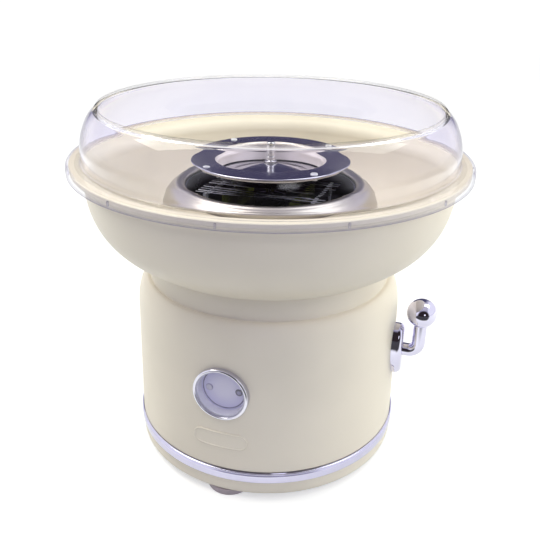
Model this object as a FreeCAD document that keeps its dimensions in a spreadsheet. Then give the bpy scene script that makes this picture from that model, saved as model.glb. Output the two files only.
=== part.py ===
import FreeCAD, Part
import Sketcher

import math
import os

# Table-top candy floss machine. Millimetres, +Z up, origin on the machine's axis at the
# level it stands on, front (badge) towards -Y, lever towards +X.

SIZES = {
    # base pan, feet and trim band
    "foot_radius": 16.8,
    "foot_height": 5.0,
    "foot_inset": 16.8,
    "foot_stem_radius": 5.0,
    "pan_proud": 0.4,
    "pan_height": 12.0,
    "pan_wall": 2.5,
    "pan_edge": 3.5,
    "spigot_height": 7.0,
    "spigot_wall": 2.0,
    "band_proud": 1.4,
    "band_height": 8.5,
    "band_step": 0.7,
    # body shell
    "shell_wall": 2.5,
    "shell_foot_radius": 103.6,
    "shell_taper": 2.0,
    "shoulder_start": 118.0,
    "shoulder_top": 142.5,
    "neck_step": 10.1,
    "deck_top": 159.5,
    "deck_thickness": 3.0,
    "deck_hole_radius": 22.0,
    "boss_inset": 8.6,
    "boss_radius": 4.2,
    # floss bowl
    "bowl_wall": 2.5,
    "bowl_foot_proud": 2.0,
    "bowl_hole_gap": 2.6,
    "bowl_radius": 134.0,
    "bowl_height": 71.5,
    "bowl_flare": 8.4,
    # splash guard
    "guard_wall": 1.8,
    "guard_mouth_wall": 2.3,
    "guard_overhang": 2.6,
    "guard_flange_drop": 6.5,
    "guard_lean": 13.0,
    "guard_height": 38.5,
    "guard_bead": 1.4,
    # heater collar and pot
    "sheet": 0.8,
    "collar_inset": 9.5,
    "collar_draw": 17.8,
    "collar_height": 55.0,
    "pot_gap": 1.6,
    "pot_floor": 186.0,
    "pot_tube_radius": 11.2,
    "shield_level": 178.0,
    "shield_inset": 2.6,
    "standoff_inset": 14.6,
    # heater
    "rod_radius": 1.3,
    "rod_inset": 23.6,
    "rod_end_inset": 29.6,
    "wire_radius": 0.45,
    "wire_inset": 15.6,
    "wire_pitch": 5.0,
    "mica_inset": 14.0,
    # spinning head
    "head_gap": 4.6,
    "head_level": 230.7,
    "head_lip": 1.2,
    "head_annulus": 20.0,
    "well_depth": 9.6,
    "rivet_inset": 5.0,
    "post_radius": 3.2,
    "post_height": 13.5,
    "hub_radius": 8.5,
    # motor and shaft
    "shaft_radius": 3.0,
    "running_gap": 0.04,
    "can_radius": 21.0,
    "can_length": 54.0,
    "can_wall": 1.2,
    "cap_height": 6.0,
    "plate_thickness": 2.0,
    "plate_radius": 41.0,
    "damper_height": 8.5,
    "damper_radius": 6.0,
    "damper_circle": 34.0,
    "fan_radius": 25.0,
    # badge, name plate and lever
    "badge_level": 89.0,
    "badge_radius": 20.3,
    "badge_proud": 1.6,
    "badge_recess": 8.8,
    "lamp_offset": 11.0,
    "lamp_drop": 0.7,
    "lamp_radius": 2.8,
    "plate_level": 50.0,
    "plate_length": 41.4,
    "plate_width": 13.0,
    "plate_rise": 0.9,
    "plate_shift": 1.4,
    "lever_level": 89.0,
    "lever_overhang": 17.0,
    "lever_rise": 33.0,
    "lever_bend": 7.5,
    "lever_rod_radius": 5.0,
    "knob_radius": 11.1,
    "scutcheon_length": 43.0,
    "scutcheon_width": 21.0,
    "scutcheon_proud": 6.0,
    "cam_radius": 8.0,
    "cam_throw": 2.0,
    # gland, screws
    "gland_level": 50.0,
    "gland_radius": 6.0,
    "gland_bore": 3.6,
    "screw_radius": 1.5,
    "screw_head_radius": 2.9,
}

doc = FreeCAD.newDocument("candy_floss_machine")
sheet = doc.addObject("Spreadsheet::Sheet", "sizes")
for row, (alias, value) in enumerate(SIZES.items(), start=1):
    sheet.set(f"A{row}", str(value))
    sheet.setAlias(f"A{row}", alias)
doc.recompute()


class Size:
    """A length with its number and the spreadsheet expression that gives it."""

    def __init__(self, number, text):
        self.number = float(number)
        self.text = text

    def joined(self, sign, other, number):
        return Size(number, f"({self.text} {sign} {as_size(other).text})")

    def __add__(self, other):
        return self.joined("+", other, self.number + as_size(other).number)

    def __sub__(self, other):
        return self.joined("-", other, self.number - as_size(other).number)

    def __mul__(self, factor):
        return self.joined("*", factor, self.number * as_size(factor).number)

    def __truediv__(self, factor):
        return self.joined("/", factor, self.number / as_size(factor).number)

    def __neg__(self):
        return Size(-self.number, f"(0 - {self.text})")

    def __radd__(self, other):
        return as_size(other) + self

    def __rsub__(self, other):
        return as_size(other) - self

    __rmul__ = __mul__


def as_size(value):
    return value if isinstance(value, Size) else Size(value, f"{float(value):.9f}")


class Sheet:
    """Gives each spreadsheet cell as a Size, by its alias."""

    def __getattr__(self, alias):
        return Size(SIZES[alias], f"sizes.{alias}")


S = Sheet()
NODES = {}
ORIGIN = (0.0, 0.0, 0.0)
UPRIGHT = FreeCAD.Rotation()
ALONG_X = FreeCAD.Rotation(FreeCAD.Vector(0, 1, 0), 90)
TO_FRONT = FreeCAD.Rotation(FreeCAD.Vector(1, 0, 0), 90)
TO_BACK = FreeCAD.Rotation(FreeCAD.Vector(1, 0, 0), -90)


# ---------------------------------------------------------------- small builders

def bind(item, name, value):
    """Set a property from a Size and keep it tied to the sheet."""
    size = as_size(value)
    setattr(item, name, size.number)
    item.setExpression(name, size.text)


def place(item, at, turn=UPRIGHT):
    sizes = [as_size(value) for value in at]
    item.Placement = FreeCAD.Placement(FreeCAD.Vector(*[size.number for size in sizes]), turn)
    for axis, size in zip("xyz", sizes):
        item.setExpression(f"Placement.Base.{axis}", size.text)
    return item


def cylinder(name, radius, height, at=ORIGIN, turn=UPRIGHT, sweep=360.0):
    item = doc.addObject("Part::Cylinder", name)
    bind(item, "Radius", radius)
    bind(item, "Height", height)
    item.Angle = sweep
    return place(item, at, turn)


def cone(name, low_radius, high_radius, height, at=ORIGIN, turn=UPRIGHT):
    item = doc.addObject("Part::Cone", name)
    bind(item, "Radius1", low_radius)
    bind(item, "Radius2", high_radius)
    bind(item, "Height", height)
    return place(item, at, turn)


def box(name, length, width, height, at=ORIGIN, turn=UPRIGHT):
    """A box centred on its own Z axis, standing on the point given."""
    item = doc.addObject("Part::Box", name)
    bind(item, "Length", length)
    bind(item, "Width", width)
    bind(item, "Height", height)
    half_length = as_size(length) / 2
    half_width = as_size(width) / 2
    offset = turn.multVec(FreeCAD.Vector(1, 0, 0)), turn.multVec(FreeCAD.Vector(0, 1, 0))
    corner = [as_size(value) - half_length * along - half_width * across
              for value, along, across in zip(at, offset[0], offset[1])]
    return place(item, corner, turn)


def ball(name, radius, at=ORIGIN):
    item = doc.addObject("Part::Sphere", name)
    bind(item, "Radius", radius)
    return place(item, at)


def cut(name, base, tools):
    item = doc.addObject("Part::Cut", name)
    item.Base = base
    item.Tool = tools[0] if len(tools) == 1 else fuse(name + "_cutter", tools)
    return item


def fuse(name, parts):
    item = doc.addObject("Part::MultiFuse", name)
    item.Shapes = parts
    return item


def common(name, first, second):
    item = doc.addObject("Part::Common", name)
    item.Base = first
    item.Tool = second
    return item


def group(name, parts):
    item = doc.addObject("Part::Compound", name)
    item.Links = parts
    return item


def tube(name, outer, inner, height, at=ORIGIN, turn=UPRIGHT):
    rod = cylinder(name + "_rod", outer, height, at, turn)
    bore = cylinder(name + "_bore", inner, height, at, turn)
    return cut(name, rod, [bore])


def node(name, item):
    """Keep a finished sub-part under the name of its file."""
    item.Label = name
    NODES[name] = item
    return item


def around(radius, degrees, level=0.0):
    angle = math.radians(degrees)
    return (as_size(radius) * math.cos(angle), as_size(radius) * math.sin(angle), level)


def about_z(degrees):
    return FreeCAD.Rotation(FreeCAD.Vector(0, 0, 1), degrees)


# ---------------------------------------------------------------- outlines and revolved shells

def flat_point(pair):
    return FreeCAD.Vector(as_size(pair[0]).number, as_size(pair[1]).number, 0)


def centre_of(path, index):
    """Centre of the arc that ends at path[index]."""
    return Part.Circle(flat_point(path[index - 1][-2:]), flat_point(path[index][:2]),
                       flat_point(path[index][-2:])).Center


def heading(path, index, at_start):
    """Direction of travel at the start or the end of the step that ends at path[index]."""
    first, last = flat_point(path[index - 1][-2:]), flat_point(path[index][-2:])
    along = last - first
    if len(path[index]) == 4:
        spoke = (first if at_start else last) - centre_of(path, index)
        tangent = FreeCAD.Vector(-spoke.y, spoke.x, 0)
        along = tangent if tangent.dot(along) > 0 else -tangent
    return math.atan2(along.y, along.x)


def inner_side(path, wall):
    """The same path, moved to its left by the wall."""
    moved = []
    for index, step in enumerate(path):
        before = heading(path, index, False) if index else None
        after = heading(path, index + 1, True) if index + 1 < len(path) else None
        before = after if before is None else before
        after = before if after is None else after
        turn = math.remainder(after - before, 2 * math.pi)
        way = before + turn / 2 + math.pi / 2
        reach = wall / math.cos(turn / 2)
        end = (step[-2] + reach * math.cos(way), step[-1] + reach * math.sin(way))
        if len(step) == 2 or not index:
            moved.append(end)
            continue
        spoke = flat_point(step[:2]) - centre_of(path, index)
        left = FreeCAD.Vector(-math.sin(before), math.cos(before), 0)
        side = 1 if (flat_point(step[-2:]) - centre_of(path, index)).dot(left) > 0 else -1
        spoke = spoke.normalize() * side
        moved.append((step[0] + wall * spoke.x, step[1] + wall * spoke.y) + end)
    return moved


def closed(path, back):
    """One closed outline from a path and the path on its other side."""
    outline = list(path)
    outline.append(back[-1][-2:])
    for index in range(len(back) - 1, 0, -1):
        target = back[index - 1][-2:]
        outline.append(back[index][:2] + target if len(back[index]) == 4 else target)
    return outline


def pin_point(sketch, geometry, corner, x, y):
    """Hold one point of a sketch at x, y, each tied to the sheet."""
    for kind, value, other_axis in (("DistanceX", as_size(x), -2), ("DistanceY", as_size(y), -1)):
        if abs(value.number) < 1e-9:
            sketch.addConstraint(Sketcher.Constraint("PointOnObject", geometry, corner, other_axis))
            continue
        index = sketch.addConstraint(
            Sketcher.Constraint(kind, -1, 1, geometry, corner, value.number))
        sketch.setExpression(f"Constraints[{index}]", value.text)


def draw(sketch, outline):
    """Draw a closed outline of lines (x, y) and arcs (via_x, via_y, x, y)."""
    start = outline[0][-2:]
    steps = outline[1:]
    if [as_size(v).number for v in steps[-1][-2:]] != [as_size(v).number for v in start]:
        steps = steps + [start]
    here = start
    first_edge = None
    last_edge = None
    for step in steps:
        points = [flat_point(pair) for pair in (here, step[:2], step[-2:])]
        if len(step) == 2:
            edge = sketch.addGeometry(Part.LineSegment(points[0], points[2]), False)
            begin, finish = 1, 2
        else:
            arc = Part.Arc(*points)
            edge = sketch.addGeometry(arc, False)
            reversed_arc = sketch.getPoint(edge, 1).distanceToPoint(points[0]) > 1e-6
            begin, finish = (2, 1) if reversed_arc else (1, 2)
            via = sketch.addGeometry(Part.Point(points[1]), True)
            pin_point(sketch, via, 1, *step[:2])
            sketch.addConstraint(Sketcher.Constraint("PointOnObject", via, 1, edge))
        pin_point(sketch, edge, begin, *here)
        if last_edge is not None:
            sketch.addConstraint(Sketcher.Constraint("Coincident", *last_edge, edge, begin))
        if first_edge is None:
            first_edge = (edge, begin)
        last_edge = (edge, finish)
        here = step[-2:]
    sketch.addConstraint(Sketcher.Constraint("Coincident", *last_edge, *first_edge))


def plane_of(body, role):
    return [item for item in body.Origin.OriginFeatures if item.Role == role][0]


def new_body(name):
    return doc.addObject("PartDesign::Body", name)


def new_sketch(body, name, role):
    sketch = body.newObject("Sketcher::SketchObject", name)
    sketch.AttachmentSupport = [(plane_of(body, role), "")]
    sketch.MapMode = "FlatFace"
    return sketch


def revolved(name, outline):
    """A body turned about Z from an outline of (radius, height) points."""
    body = new_body(name)
    sketch = new_sketch(body, name + "_outline", "XZ_Plane")
    draw(sketch, outline)
    turned = body.newObject("PartDesign::Revolution", name + "_turned")
    turned.Profile = sketch
    turned.ReferenceAxis = (sketch, ["V_Axis"])
    turned.Angle = 360.0
    sketch.Visibility = False
    return body


def padded(name, role, outline, depth, offset=0.0):
    """A body pushed out from an outline on one of its own planes."""
    body = new_body(name)
    sketch = new_sketch(body, name + "_outline", role)
    size = as_size(offset)
    sketch.AttachmentOffset = FreeCAD.Placement(FreeCAD.Vector(0, 0, size.number), UPRIGHT)
    sketch.setExpression("AttachmentOffset.Base.z", size.text)
    draw(sketch, outline)
    pad = body.newObject("PartDesign::Pad", name + "_pad")
    pad.Profile = sketch
    bind(pad, "Length", depth)
    return body


def sheet_form(name, path, wall):
    """A thin revolved piece: a path on its outer side and a wall to the path's left."""
    return revolved(name, closed(path, inner_side(path, wall)))


# ---------------------------------------------------------------- base pan and feet

pan_radius = S.shell_foot_radius + S.pan_proud
foot_circle = S.shell_foot_radius - S.foot_inset
pan_bottom = S.foot_height
pan_floor = pan_bottom + S.pan_wall
pan_top = pan_bottom + S.pan_height
shell_inner_radius = S.shell_foot_radius - S.shell_wall
boss_circle = shell_inner_radius - S.boss_inset
shell_top_radius = S.shell_foot_radius - S.shell_taper
spigot_radius = shell_inner_radius - 0.1
spigot_inner = spigot_radius - S.spigot_wall
edge_bend = S.pan_edge * (1 - math.sqrt(0.5))

pan_blank = revolved("pan_blank", [
    (0.0, pan_bottom),
    (pan_radius - S.pan_edge, pan_bottom),
    (pan_radius - edge_bend, pan_bottom + edge_bend, pan_radius, pan_bottom + S.pan_edge),
    (pan_radius, pan_top),
    (spigot_radius, pan_top),
    (spigot_radius, pan_top + S.spigot_height),
    (spigot_inner, pan_top + S.spigot_height),
    (spigot_inner, pan_top - S.pan_wall),
    (pan_radius - S.pan_wall, pan_top - 2 * S.pan_wall),
    (pan_radius - S.pan_wall, pan_floor),
    (0.0, pan_floor),
])

FOOT_ANGLES = (-90, 30, 150)
SCREW_ANGLES = (-30, 90, 210)
VENTS = 12
pad_height = 3.5
screw_seat = pan_bottom + 3.5

pads = [cylinder(f"pan_pad_{n}", S.boss_radius + 1.6, pad_height, around(boss_circle, angle, pan_floor))
        for n, angle in enumerate(SCREW_ANGLES)]
pan_cutters = [cylinder(f"foot_hole_{n}", S.foot_stem_radius, S.pan_wall,
                        around(foot_circle, angle, pan_bottom))
               for n, angle in enumerate(FOOT_ANGLES)]
pan_cutters += [cylinder(f"pan_screw_hole_{n}", S.screw_radius + 0.2, S.pan_wall + pad_height,
                         around(boss_circle, angle, pan_bottom))
                for n, angle in enumerate(SCREW_ANGLES)]
pan_cutters += [cylinder(f"pan_screw_seat_{n}", S.screw_head_radius + 0.4, screw_seat - pan_bottom,
                         around(boss_circle, angle, pan_bottom))
                for n, angle in enumerate(SCREW_ANGLES)]
pan_cutters += [box(f"pan_vent_{n}", 26.0, 4.5, S.pan_wall,
                    around(S.can_radius + 17.0, 360.0 * n / VENTS, pan_bottom), about_z(360.0 * n / VENTS))
                for n in range(VENTS)]
node("base_pan", cut("base_pan", fuse("pan_with_pads", [pan_blank] + pads), pan_cutters))

stem_gap = 0.05
feet = []
for n, angle in enumerate(FOOT_ANGLES):
    foot_sole = cylinder(f"foot_sole_{n}", S.foot_radius, S.foot_height, around(foot_circle, angle, 0.0))
    foot_stem = cylinder(f"foot_stem_{n}", S.foot_stem_radius - stem_gap, S.foot_height + S.pan_wall + 1.6,
                         around(foot_circle, angle, 0.0))
    foot_bead = cylinder(f"foot_bead_{n}", S.foot_stem_radius + 0.8, 1.3,
                         around(foot_circle, angle, pan_floor + 0.1))
    feet.append(fuse(f"foot_{n}", [foot_sole, foot_stem, foot_bead]))
node("rubber_feet", group("rubber_feet", feet))

# ---------------------------------------------------------------- trim band

rebate_radius = S.shell_foot_radius - 1.0
band_radius = S.shell_foot_radius + S.band_proud
band_inner = rebate_radius + 0.1
band_top = pan_top + S.band_height
node("trim_band", revolved("trim_band", [
    (band_inner, pan_top),
    (band_radius, pan_top),
    (band_radius, band_top - 2.6),
    (band_radius - 0.2, band_top - 1.9, band_radius - S.band_step, band_top - 1.6),
    (band_radius - 0.1, band_top - 0.8, band_radius - S.band_step, band_top),
    (band_inner, band_top),
]))

# ---------------------------------------------------------------- body shell

neck_flat = 1.1
neck_radius = shell_top_radius - S.neck_step
collar_foot_radius = neck_radius - S.collar_inset
collar_rim_radius = collar_foot_radius - S.collar_draw
pot_radius = collar_rim_radius - S.pot_gap
standoff_circle = pot_radius - S.standoff_inset
oval_centre = neck_radius + neck_flat
oval_width = shell_top_radius - oval_centre
oval_height = S.shoulder_top - S.shoulder_start


def shoulder(inset):
    """The rounded shoulder from the wall to the foot of the neck, as two arcs."""
    wide, tall = oval_width - inset, oval_height - inset
    points = []
    for degrees in (27, 51, 68, 90):
        angle = math.radians(degrees)
        points += [oval_centre + wide * math.cos(angle), S.shoulder_start + tall * math.sin(angle)]
    return [tuple(points[:4]), tuple(points[4:])]


neck_inner = neck_radius - S.shell_wall
deck_underside = S.deck_top - S.deck_thickness
bowl_hole_radius = collar_foot_radius + S.bowl_hole_gap
ring_outer = bowl_hole_radius - 0.4
ring_inner = ring_outer - 1.4
shell_outside = [
    (rebate_radius, pan_top),
    (rebate_radius, band_top + 0.1),
    (S.shell_foot_radius, band_top + 0.1),
    (shell_top_radius, S.shoulder_start),
] + shoulder(0.0) + [
    (neck_radius, S.shoulder_top),
    (neck_radius, S.deck_top),
    (ring_outer, S.deck_top),
    (ring_outer, S.deck_top + 2.0),
    (ring_inner, S.deck_top + 2.0),
    (ring_inner, S.deck_top),
    (S.deck_hole_radius, S.deck_top),
    (S.deck_hole_radius, deck_underside),
]
inner_shoulder = shoulder(S.shell_wall)
shell_inside = [
    (neck_inner, deck_underside),
    (neck_inner, S.shoulder_top - S.shell_wall),
    (oval_centre, S.shoulder_top - S.shell_wall),
    inner_shoulder[1][:2] + inner_shoulder[0][-2:],
    inner_shoulder[0][:2] + (shell_top_radius - S.shell_wall, S.shoulder_start),
    (shell_inner_radius, band_top + 0.1),
    (shell_inner_radius, pan_top),
]
shell_blank = revolved("shell_blank", shell_outside + shell_inside)

boss_foot = pan_floor + pad_height
boss_top = pan_top + S.spigot_height + 16.0
shell_adds = []
shell_cutters = []
web_foot = pan_top + S.spigot_height + 0.6
for n, angle in enumerate(SCREW_ANGLES):
    shell_adds.append(cylinder(f"boss_{n}", S.boss_radius, boss_top - boss_foot,
                               around(boss_circle, angle, boss_foot)))
    shell_adds.append(box(f"boss_web_{n}", 8.0, 2.4, boss_top - web_foot,
                          around(shell_inner_radius - 3.4, angle, web_foot), about_z(angle)))
    shell_cutters.append(cylinder(f"boss_hole_{n}", S.screw_radius + 0.02, 18.0,
                                  around(boss_circle, angle, boss_foot)))

badge_hole_radius = S.badge_radius - 1.9
stem_radius = S.lever_rod_radius
shell_cutters.append(cylinder("badge_hole", badge_hole_radius, 25.0,
                              (0.0, -neck_radius, S.badge_level), TO_FRONT))
shell_cutters.append(cylinder("lever_hole", stem_radius + 0.3, 25.0,
                              (neck_radius, 0.0, S.lever_level), ALONG_X))
shell_cutters.append(cylinder("gland_hole", S.gland_radius + 0.05, 25.0,
                              (0.0, neck_radius, S.gland_level), TO_BACK))
MOTOR_ANGLES = (90, 210, 330)
POT_ANGLES = (30, 150, 270)
COLLAR_ANGLES = (0, 120, 240)
for n, angle in enumerate(MOTOR_ANGLES):
    shell_cutters.append(cylinder(f"deck_motor_hole_{n}", S.screw_radius + 0.02, 2.4,
                                  around(S.damper_circle, angle, deck_underside)))
for n, angle in enumerate(POT_ANGLES):
    shell_cutters.append(cylinder(f"deck_standoff_hole_{n}", 1.6, S.deck_thickness,
                                  around(standoff_circle, angle, deck_underside)))
collar_screw_circle = collar_foot_radius - 3.6
for n, angle in enumerate(COLLAR_ANGLES):
    shell_cutters.append(cylinder(f"deck_collar_hole_{n}", S.screw_radius + 0.02, S.deck_thickness,
                                  around(collar_screw_circle, angle, deck_underside)))
node("body_shell", cut("body_shell", fuse("shell_with_bosses", [shell_blank] + shell_adds), shell_cutters))

base_screws = []
for n, angle in enumerate(SCREW_ANGLES):
    head = cylinder(f"base_screw_head_{n}", S.screw_head_radius, 2.0,
                    around(boss_circle, angle, screw_seat - 2.0))
    shank = cylinder(f"base_screw_shank_{n}", S.screw_radius, 18.0, around(boss_circle, angle, screw_seat))
    base_screws.append(fuse(f"base_screw_{n}", [head, shank]))
node("base_screws", group("base_screws", base_screws))

# ---------------------------------------------------------------- floss bowl

bowl_foot = S.deck_top
bowl_foot_radius = neck_radius + S.bowl_foot_proud
bowl_top = bowl_foot + S.bowl_height
bowl_rim = S.bowl_radius + S.bowl_flare


def bowl_point(across, up):
    """A point of the bowl's outside, as shares of its width and height."""
    span = S.bowl_radius - bowl_foot_radius
    return (bowl_foot_radius + span * across, bowl_foot + S.bowl_height * up)


bowl_path = [
    (bowl_hole_radius, bowl_foot),
    (bowl_foot_radius, bowl_foot),
    bowl_point(0.264, 0.0825) + bowl_point(0.496, 0.176),
    bowl_point(0.765, 0.3455) + bowl_point(0.916, 0.5245),
    bowl_point(0.975, 0.663) + (S.bowl_radius, bowl_top - 14.0),
    (S.bowl_radius + 0.9, bowl_top - 8.3, S.bowl_radius + S.bowl_flare / 2, bowl_top - 4.8),
    (bowl_rim, bowl_top - 3.2),
]
bowl_back = inner_side(bowl_path, S.bowl_wall)
bowl_back = bowl_back[:-1] + [(S.bowl_radius + S.bowl_flare / 2, bowl_top), (bowl_rim, bowl_top)]
node("floss_bowl", revolved("floss_bowl", closed(bowl_path, bowl_back)))

# ---------------------------------------------------------------- splash guard

flange_under = bowl_top + 0.1
flange_top = flange_under + S.guard_wall
guard_top = bowl_top + S.guard_height
lip_bottom = flange_top - S.guard_flange_drop
guard_rim = bowl_rim + S.guard_overhang
guard_side = S.bowl_radius + 0.5
guard_mouth = guard_side - S.guard_lean
guard_path = [
    (guard_rim, lip_bottom),
    (guard_rim, flange_top - 2.0),
    (guard_rim - 0.6, flange_top - 0.6, guard_rim - 2.0, flange_top),
    (guard_side + 1.6, flange_top),
    (guard_side + 0.4, flange_top + 0.5, guard_side, flange_top + 1.8),
    (guard_side - 0.1, guard_top - 27.0),
    (guard_side - 1.4, guard_top - 19.0, guard_side - 3.7, guard_top - 13.0),
    (guard_side - 7.3, guard_top - 6.6, guard_mouth, guard_top - S.guard_bead),
]
thin_back = inner_side(guard_path, S.guard_wall)
thick_back = inner_side(guard_path, S.guard_mouth_wall)


def thickened(step, shares):
    """A step of the guard's inner line, part way from the thin wall to the thick one."""
    return tuple(thin + (thick - thin) * share
                 for thin, thick, share in zip(thin_back[step], thick_back[step], shares))


guard_back = thin_back[:-2] + [thickened(-2, (0.2, 0.2, 0.5, 0.5)), thickened(-1, (0.75, 0.75, 1.0, 1.0))]
guard_body = revolved("guard_blank", closed(guard_path, guard_back))
guard_bead = doc.addObject("Part::Torus", "guard_bead_ring")
bind(guard_bead, "Radius1", guard_mouth - 0.5)
bind(guard_bead, "Radius2", S.guard_bead)
place(guard_bead, (0.0, 0.0, guard_top - S.guard_bead))
LUGS = 12
lugs = [box(f"guard_lug_{n}", 0.9, 1.4, 3.2,
            around(guard_rim - S.guard_wall - 0.2, 360.0 * (n + 0.2) / LUGS, lip_bottom + 0.5),
            about_z(360.0 * (n + 0.2) / LUGS))
        for n in range(LUGS)]
node("splash_guard", fuse("splash_guard", [guard_body, guard_bead] + lugs))

# ---------------------------------------------------------------- heater collar

collar_foot = S.deck_top
collar_top = collar_foot + S.collar_height
foot_turn_in = collar_foot_radius - 7.0
collar_path = [
    (foot_turn_in, collar_foot),
    (collar_foot_radius, collar_foot),
    (collar_foot_radius - 0.6, collar_foot + 24.0),
    (collar_foot_radius - 1.4, collar_foot + 34.5, collar_foot_radius - 3.8, collar_top - 12.5),
    (collar_foot_radius - 6.8, collar_top - 6.3, collar_rim_radius + 6.4, collar_top - 2.4),
    (collar_rim_radius + 3.0, collar_top - 0.2, collar_rim_radius, collar_top - 1.2),
    (collar_rim_radius - 1.2, collar_top - 3.4),
]
collar_blank = sheet_form("collar_blank", collar_path, S.sheet)
collar_holes = [cylinder(f"collar_hole_{n}", S.screw_radius + 0.2, S.sheet,
                         around(collar_screw_circle, angle, collar_foot))
                for n, angle in enumerate(COLLAR_ANGLES)]
node("heater_collar", cut("heater_collar", collar_blank, collar_holes))
collar_screws = []
for n, angle in enumerate(COLLAR_ANGLES):
    head = cylinder(f"collar_screw_head_{n}", S.screw_head_radius - 0.5, 1.6,
                    around(collar_screw_circle, angle, collar_foot + S.sheet))
    shank = cylinder(f"collar_screw_shank_{n}", S.screw_radius, S.deck_thickness + S.sheet,
                     around(collar_screw_circle, angle, collar_foot - S.deck_thickness))
    collar_screws.append(fuse(f"collar_screw_{n}", [head, shank]))
node("collar_screws", group("collar_screws", collar_screws))

# ---------------------------------------------------------------- heater pot, shield and their fasteners

pot_top = collar_top - 4.4
shield_radius = pot_radius - S.shield_inset
half_rods = pot_radius - S.rod_inset
rod_length = 2 * (pot_radius - S.rod_end_inset)
half_wire = pot_radius - S.wire_inset
pot_corner = 7.0
pot_path = [
    (pot_radius, pot_top),
    (pot_radius, S.pot_floor + pot_corner),
    (pot_radius - pot_corner * (1 - math.sqrt(0.5)), S.pot_floor + pot_corner * (1 - math.sqrt(0.5)),
     pot_radius - pot_corner, S.pot_floor),
    (S.pot_tube_radius, S.pot_floor),
    (S.pot_tube_radius, S.pot_floor + 15.0),
]
pot_inner = [
    (pot_radius - S.sheet, pot_top),
    (pot_radius - S.sheet, S.pot_floor + pot_corner),
    (pot_radius - S.sheet - (pot_corner - S.sheet) * (1 - math.sqrt(0.5)),
     S.pot_floor + S.sheet + (pot_corner - S.sheet) * (1 - math.sqrt(0.5)),
     pot_radius - pot_corner, S.pot_floor + S.sheet),
    (S.pot_tube_radius + S.sheet, S.pot_floor + S.sheet),
    (S.pot_tube_radius + S.sheet, S.pot_floor + 15.0),
]
pot_blank = revolved("pot_blank", closed(pot_path, pot_inner))
screw_clearance = S.screw_radius + 0.2
pot_holes = [cylinder(f"pot_hole_{n}", screw_clearance, S.sheet,
                      around(standoff_circle, angle, S.pot_floor))
             for n, angle in enumerate(POT_ANGLES)]
lead_circle = half_rods - 5.0
pot_holes += [cylinder(f"pot_lead_hole_{n}", 3.1, S.sheet, (side * lead_circle, 0.0, S.pot_floor))
              for n, side in enumerate((-1, 1))]
node("heater_pot", cut("heater_pot", pot_blank, pot_holes))

shield_holes = [cylinder(f"shield_hole_{n}", screw_clearance, S.sheet,
                         around(standoff_circle, angle, S.shield_level))
                for n, angle in enumerate(POT_ANGLES)]
shield_holes += [cylinder(f"shield_lead_hole_{n}", 4.0, S.sheet, (side * lead_circle, 0.0, S.shield_level))
                 for n, side in enumerate((-1, 1))]
shield_holes.append(cylinder("shield_shaft_hole", 12.0, S.sheet, (0.0, 0.0, S.shield_level)))
shield_disc = cylinder("shield_disc", shield_radius, S.sheet, (0.0, 0.0, S.shield_level))
node("heat_shield", cut("heat_shield", shield_disc, shield_holes))

standoffs = []
spacers = []
pot_screws = []
for n, angle in enumerate(POT_ANGLES):
    post = cylinder(f"standoff_post_{n}", 3.2, S.shield_level - S.deck_top,
                    around(standoff_circle, angle, S.deck_top))
    bore = cylinder(f"standoff_bore_{n}", S.screw_radius + 0.02, 10.0,
                    around(standoff_circle, angle, S.shield_level - 10.0))
    standoffs.append(cut(f"standoff_{n}", post, [bore]))
    spacers.append(tube(f"spacer_{n}", 4.6, screw_clearance, S.pot_floor - S.shield_level - S.sheet,
                        around(standoff_circle, angle, S.shield_level + S.sheet)))
    head = cylinder(f"pot_screw_head_{n}", S.screw_head_radius, 1.6,
                    around(standoff_circle, angle, S.pot_floor + S.sheet))
    shank = cylinder(f"pot_screw_shank_{n}", S.screw_radius, S.pot_floor + S.sheet - S.shield_level + 8.0,
                     around(standoff_circle, angle, S.shield_level - 8.0))
    pot_screws.append(fuse(f"pot_screw_{n}", [head, shank]))
node("standoffs", group("standoffs", standoffs))
node("ceramic_spacers", group("ceramic_spacers", spacers))
node("pot_screws", group("pot_screws", pot_screws))

# ---------------------------------------------------------------- heater: mica strips, rods, wires, terminals

heater_bed = S.pot_floor + S.sheet
rod_level = heater_bed + 19.0
half_mica = half_rods - S.mica_inset
mica_top = rod_level + S.rod_radius
mica_strips = [box(f"mica_strip_{side}", 1.0, rod_length, mica_top - heater_bed,
                   (sign * half_mica, 0.0, heater_bed))
               for side, sign in (("left", -1), ("right", 1))]
node("mica_strips", group("mica_strips", mica_strips))

rod_feet = []
for side, sign in (("left", -1), ("right", 1)):
    rod = cylinder(f"rod_{side}", S.rod_radius, rod_length,
                   (sign * half_rods, -rod_length / 2, rod_level), TO_BACK)
    legs = [cylinder(f"rod_leg_{side}_{end}", 1.1, rod_level - heater_bed,
                     (sign * half_rods, way * (rod_length / 2 - 4.0), heater_bed))
            for end, way in (("front", -1), ("back", 1))]
    rod_feet.append(fuse(f"heater_rod_{side}", [rod] + legs))
node("heater_rods", group("heater_rods", rod_feet))

wire_level = mica_top + S.wire_radius
wire_gap = S.pot_tube_radius + S.sheet + 2.0
wires = []
for n in range(-6, 7):
    row = n * S.wire_pitch
    if abs(n) > 2:
        wires.append(cylinder(f"wire_{n + 6}", S.wire_radius, 2 * half_wire,
                              (-half_wire, row, wire_level), ALONG_X))
        continue
    for side, start in (("left", -half_wire), ("right", wire_gap)):
        wires.append(cylinder(f"wire_{n + 6}_{side}", S.wire_radius, half_wire - wire_gap,
                              (start, row, wire_level), ALONG_X))
node("heater_wires", group("heater_wires", wires))

terminals = []
for side, sign in (("left", -1), ("right", 1)):
    sleeve = cylinder(f"terminal_sleeve_{side}", 3.0, 9.0, (sign * lead_circle, 0.0, S.pot_floor - 5.0))
    collar = cylinder(f"terminal_collar_{side}", 4.4, 3.0, (sign * lead_circle, 0.0, heater_bed))
    terminals.append(fuse(f"terminal_{side}", [sleeve, collar]))
node("heater_terminals", group("heater_terminals", terminals))

# ---------------------------------------------------------------- spinning head

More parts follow.
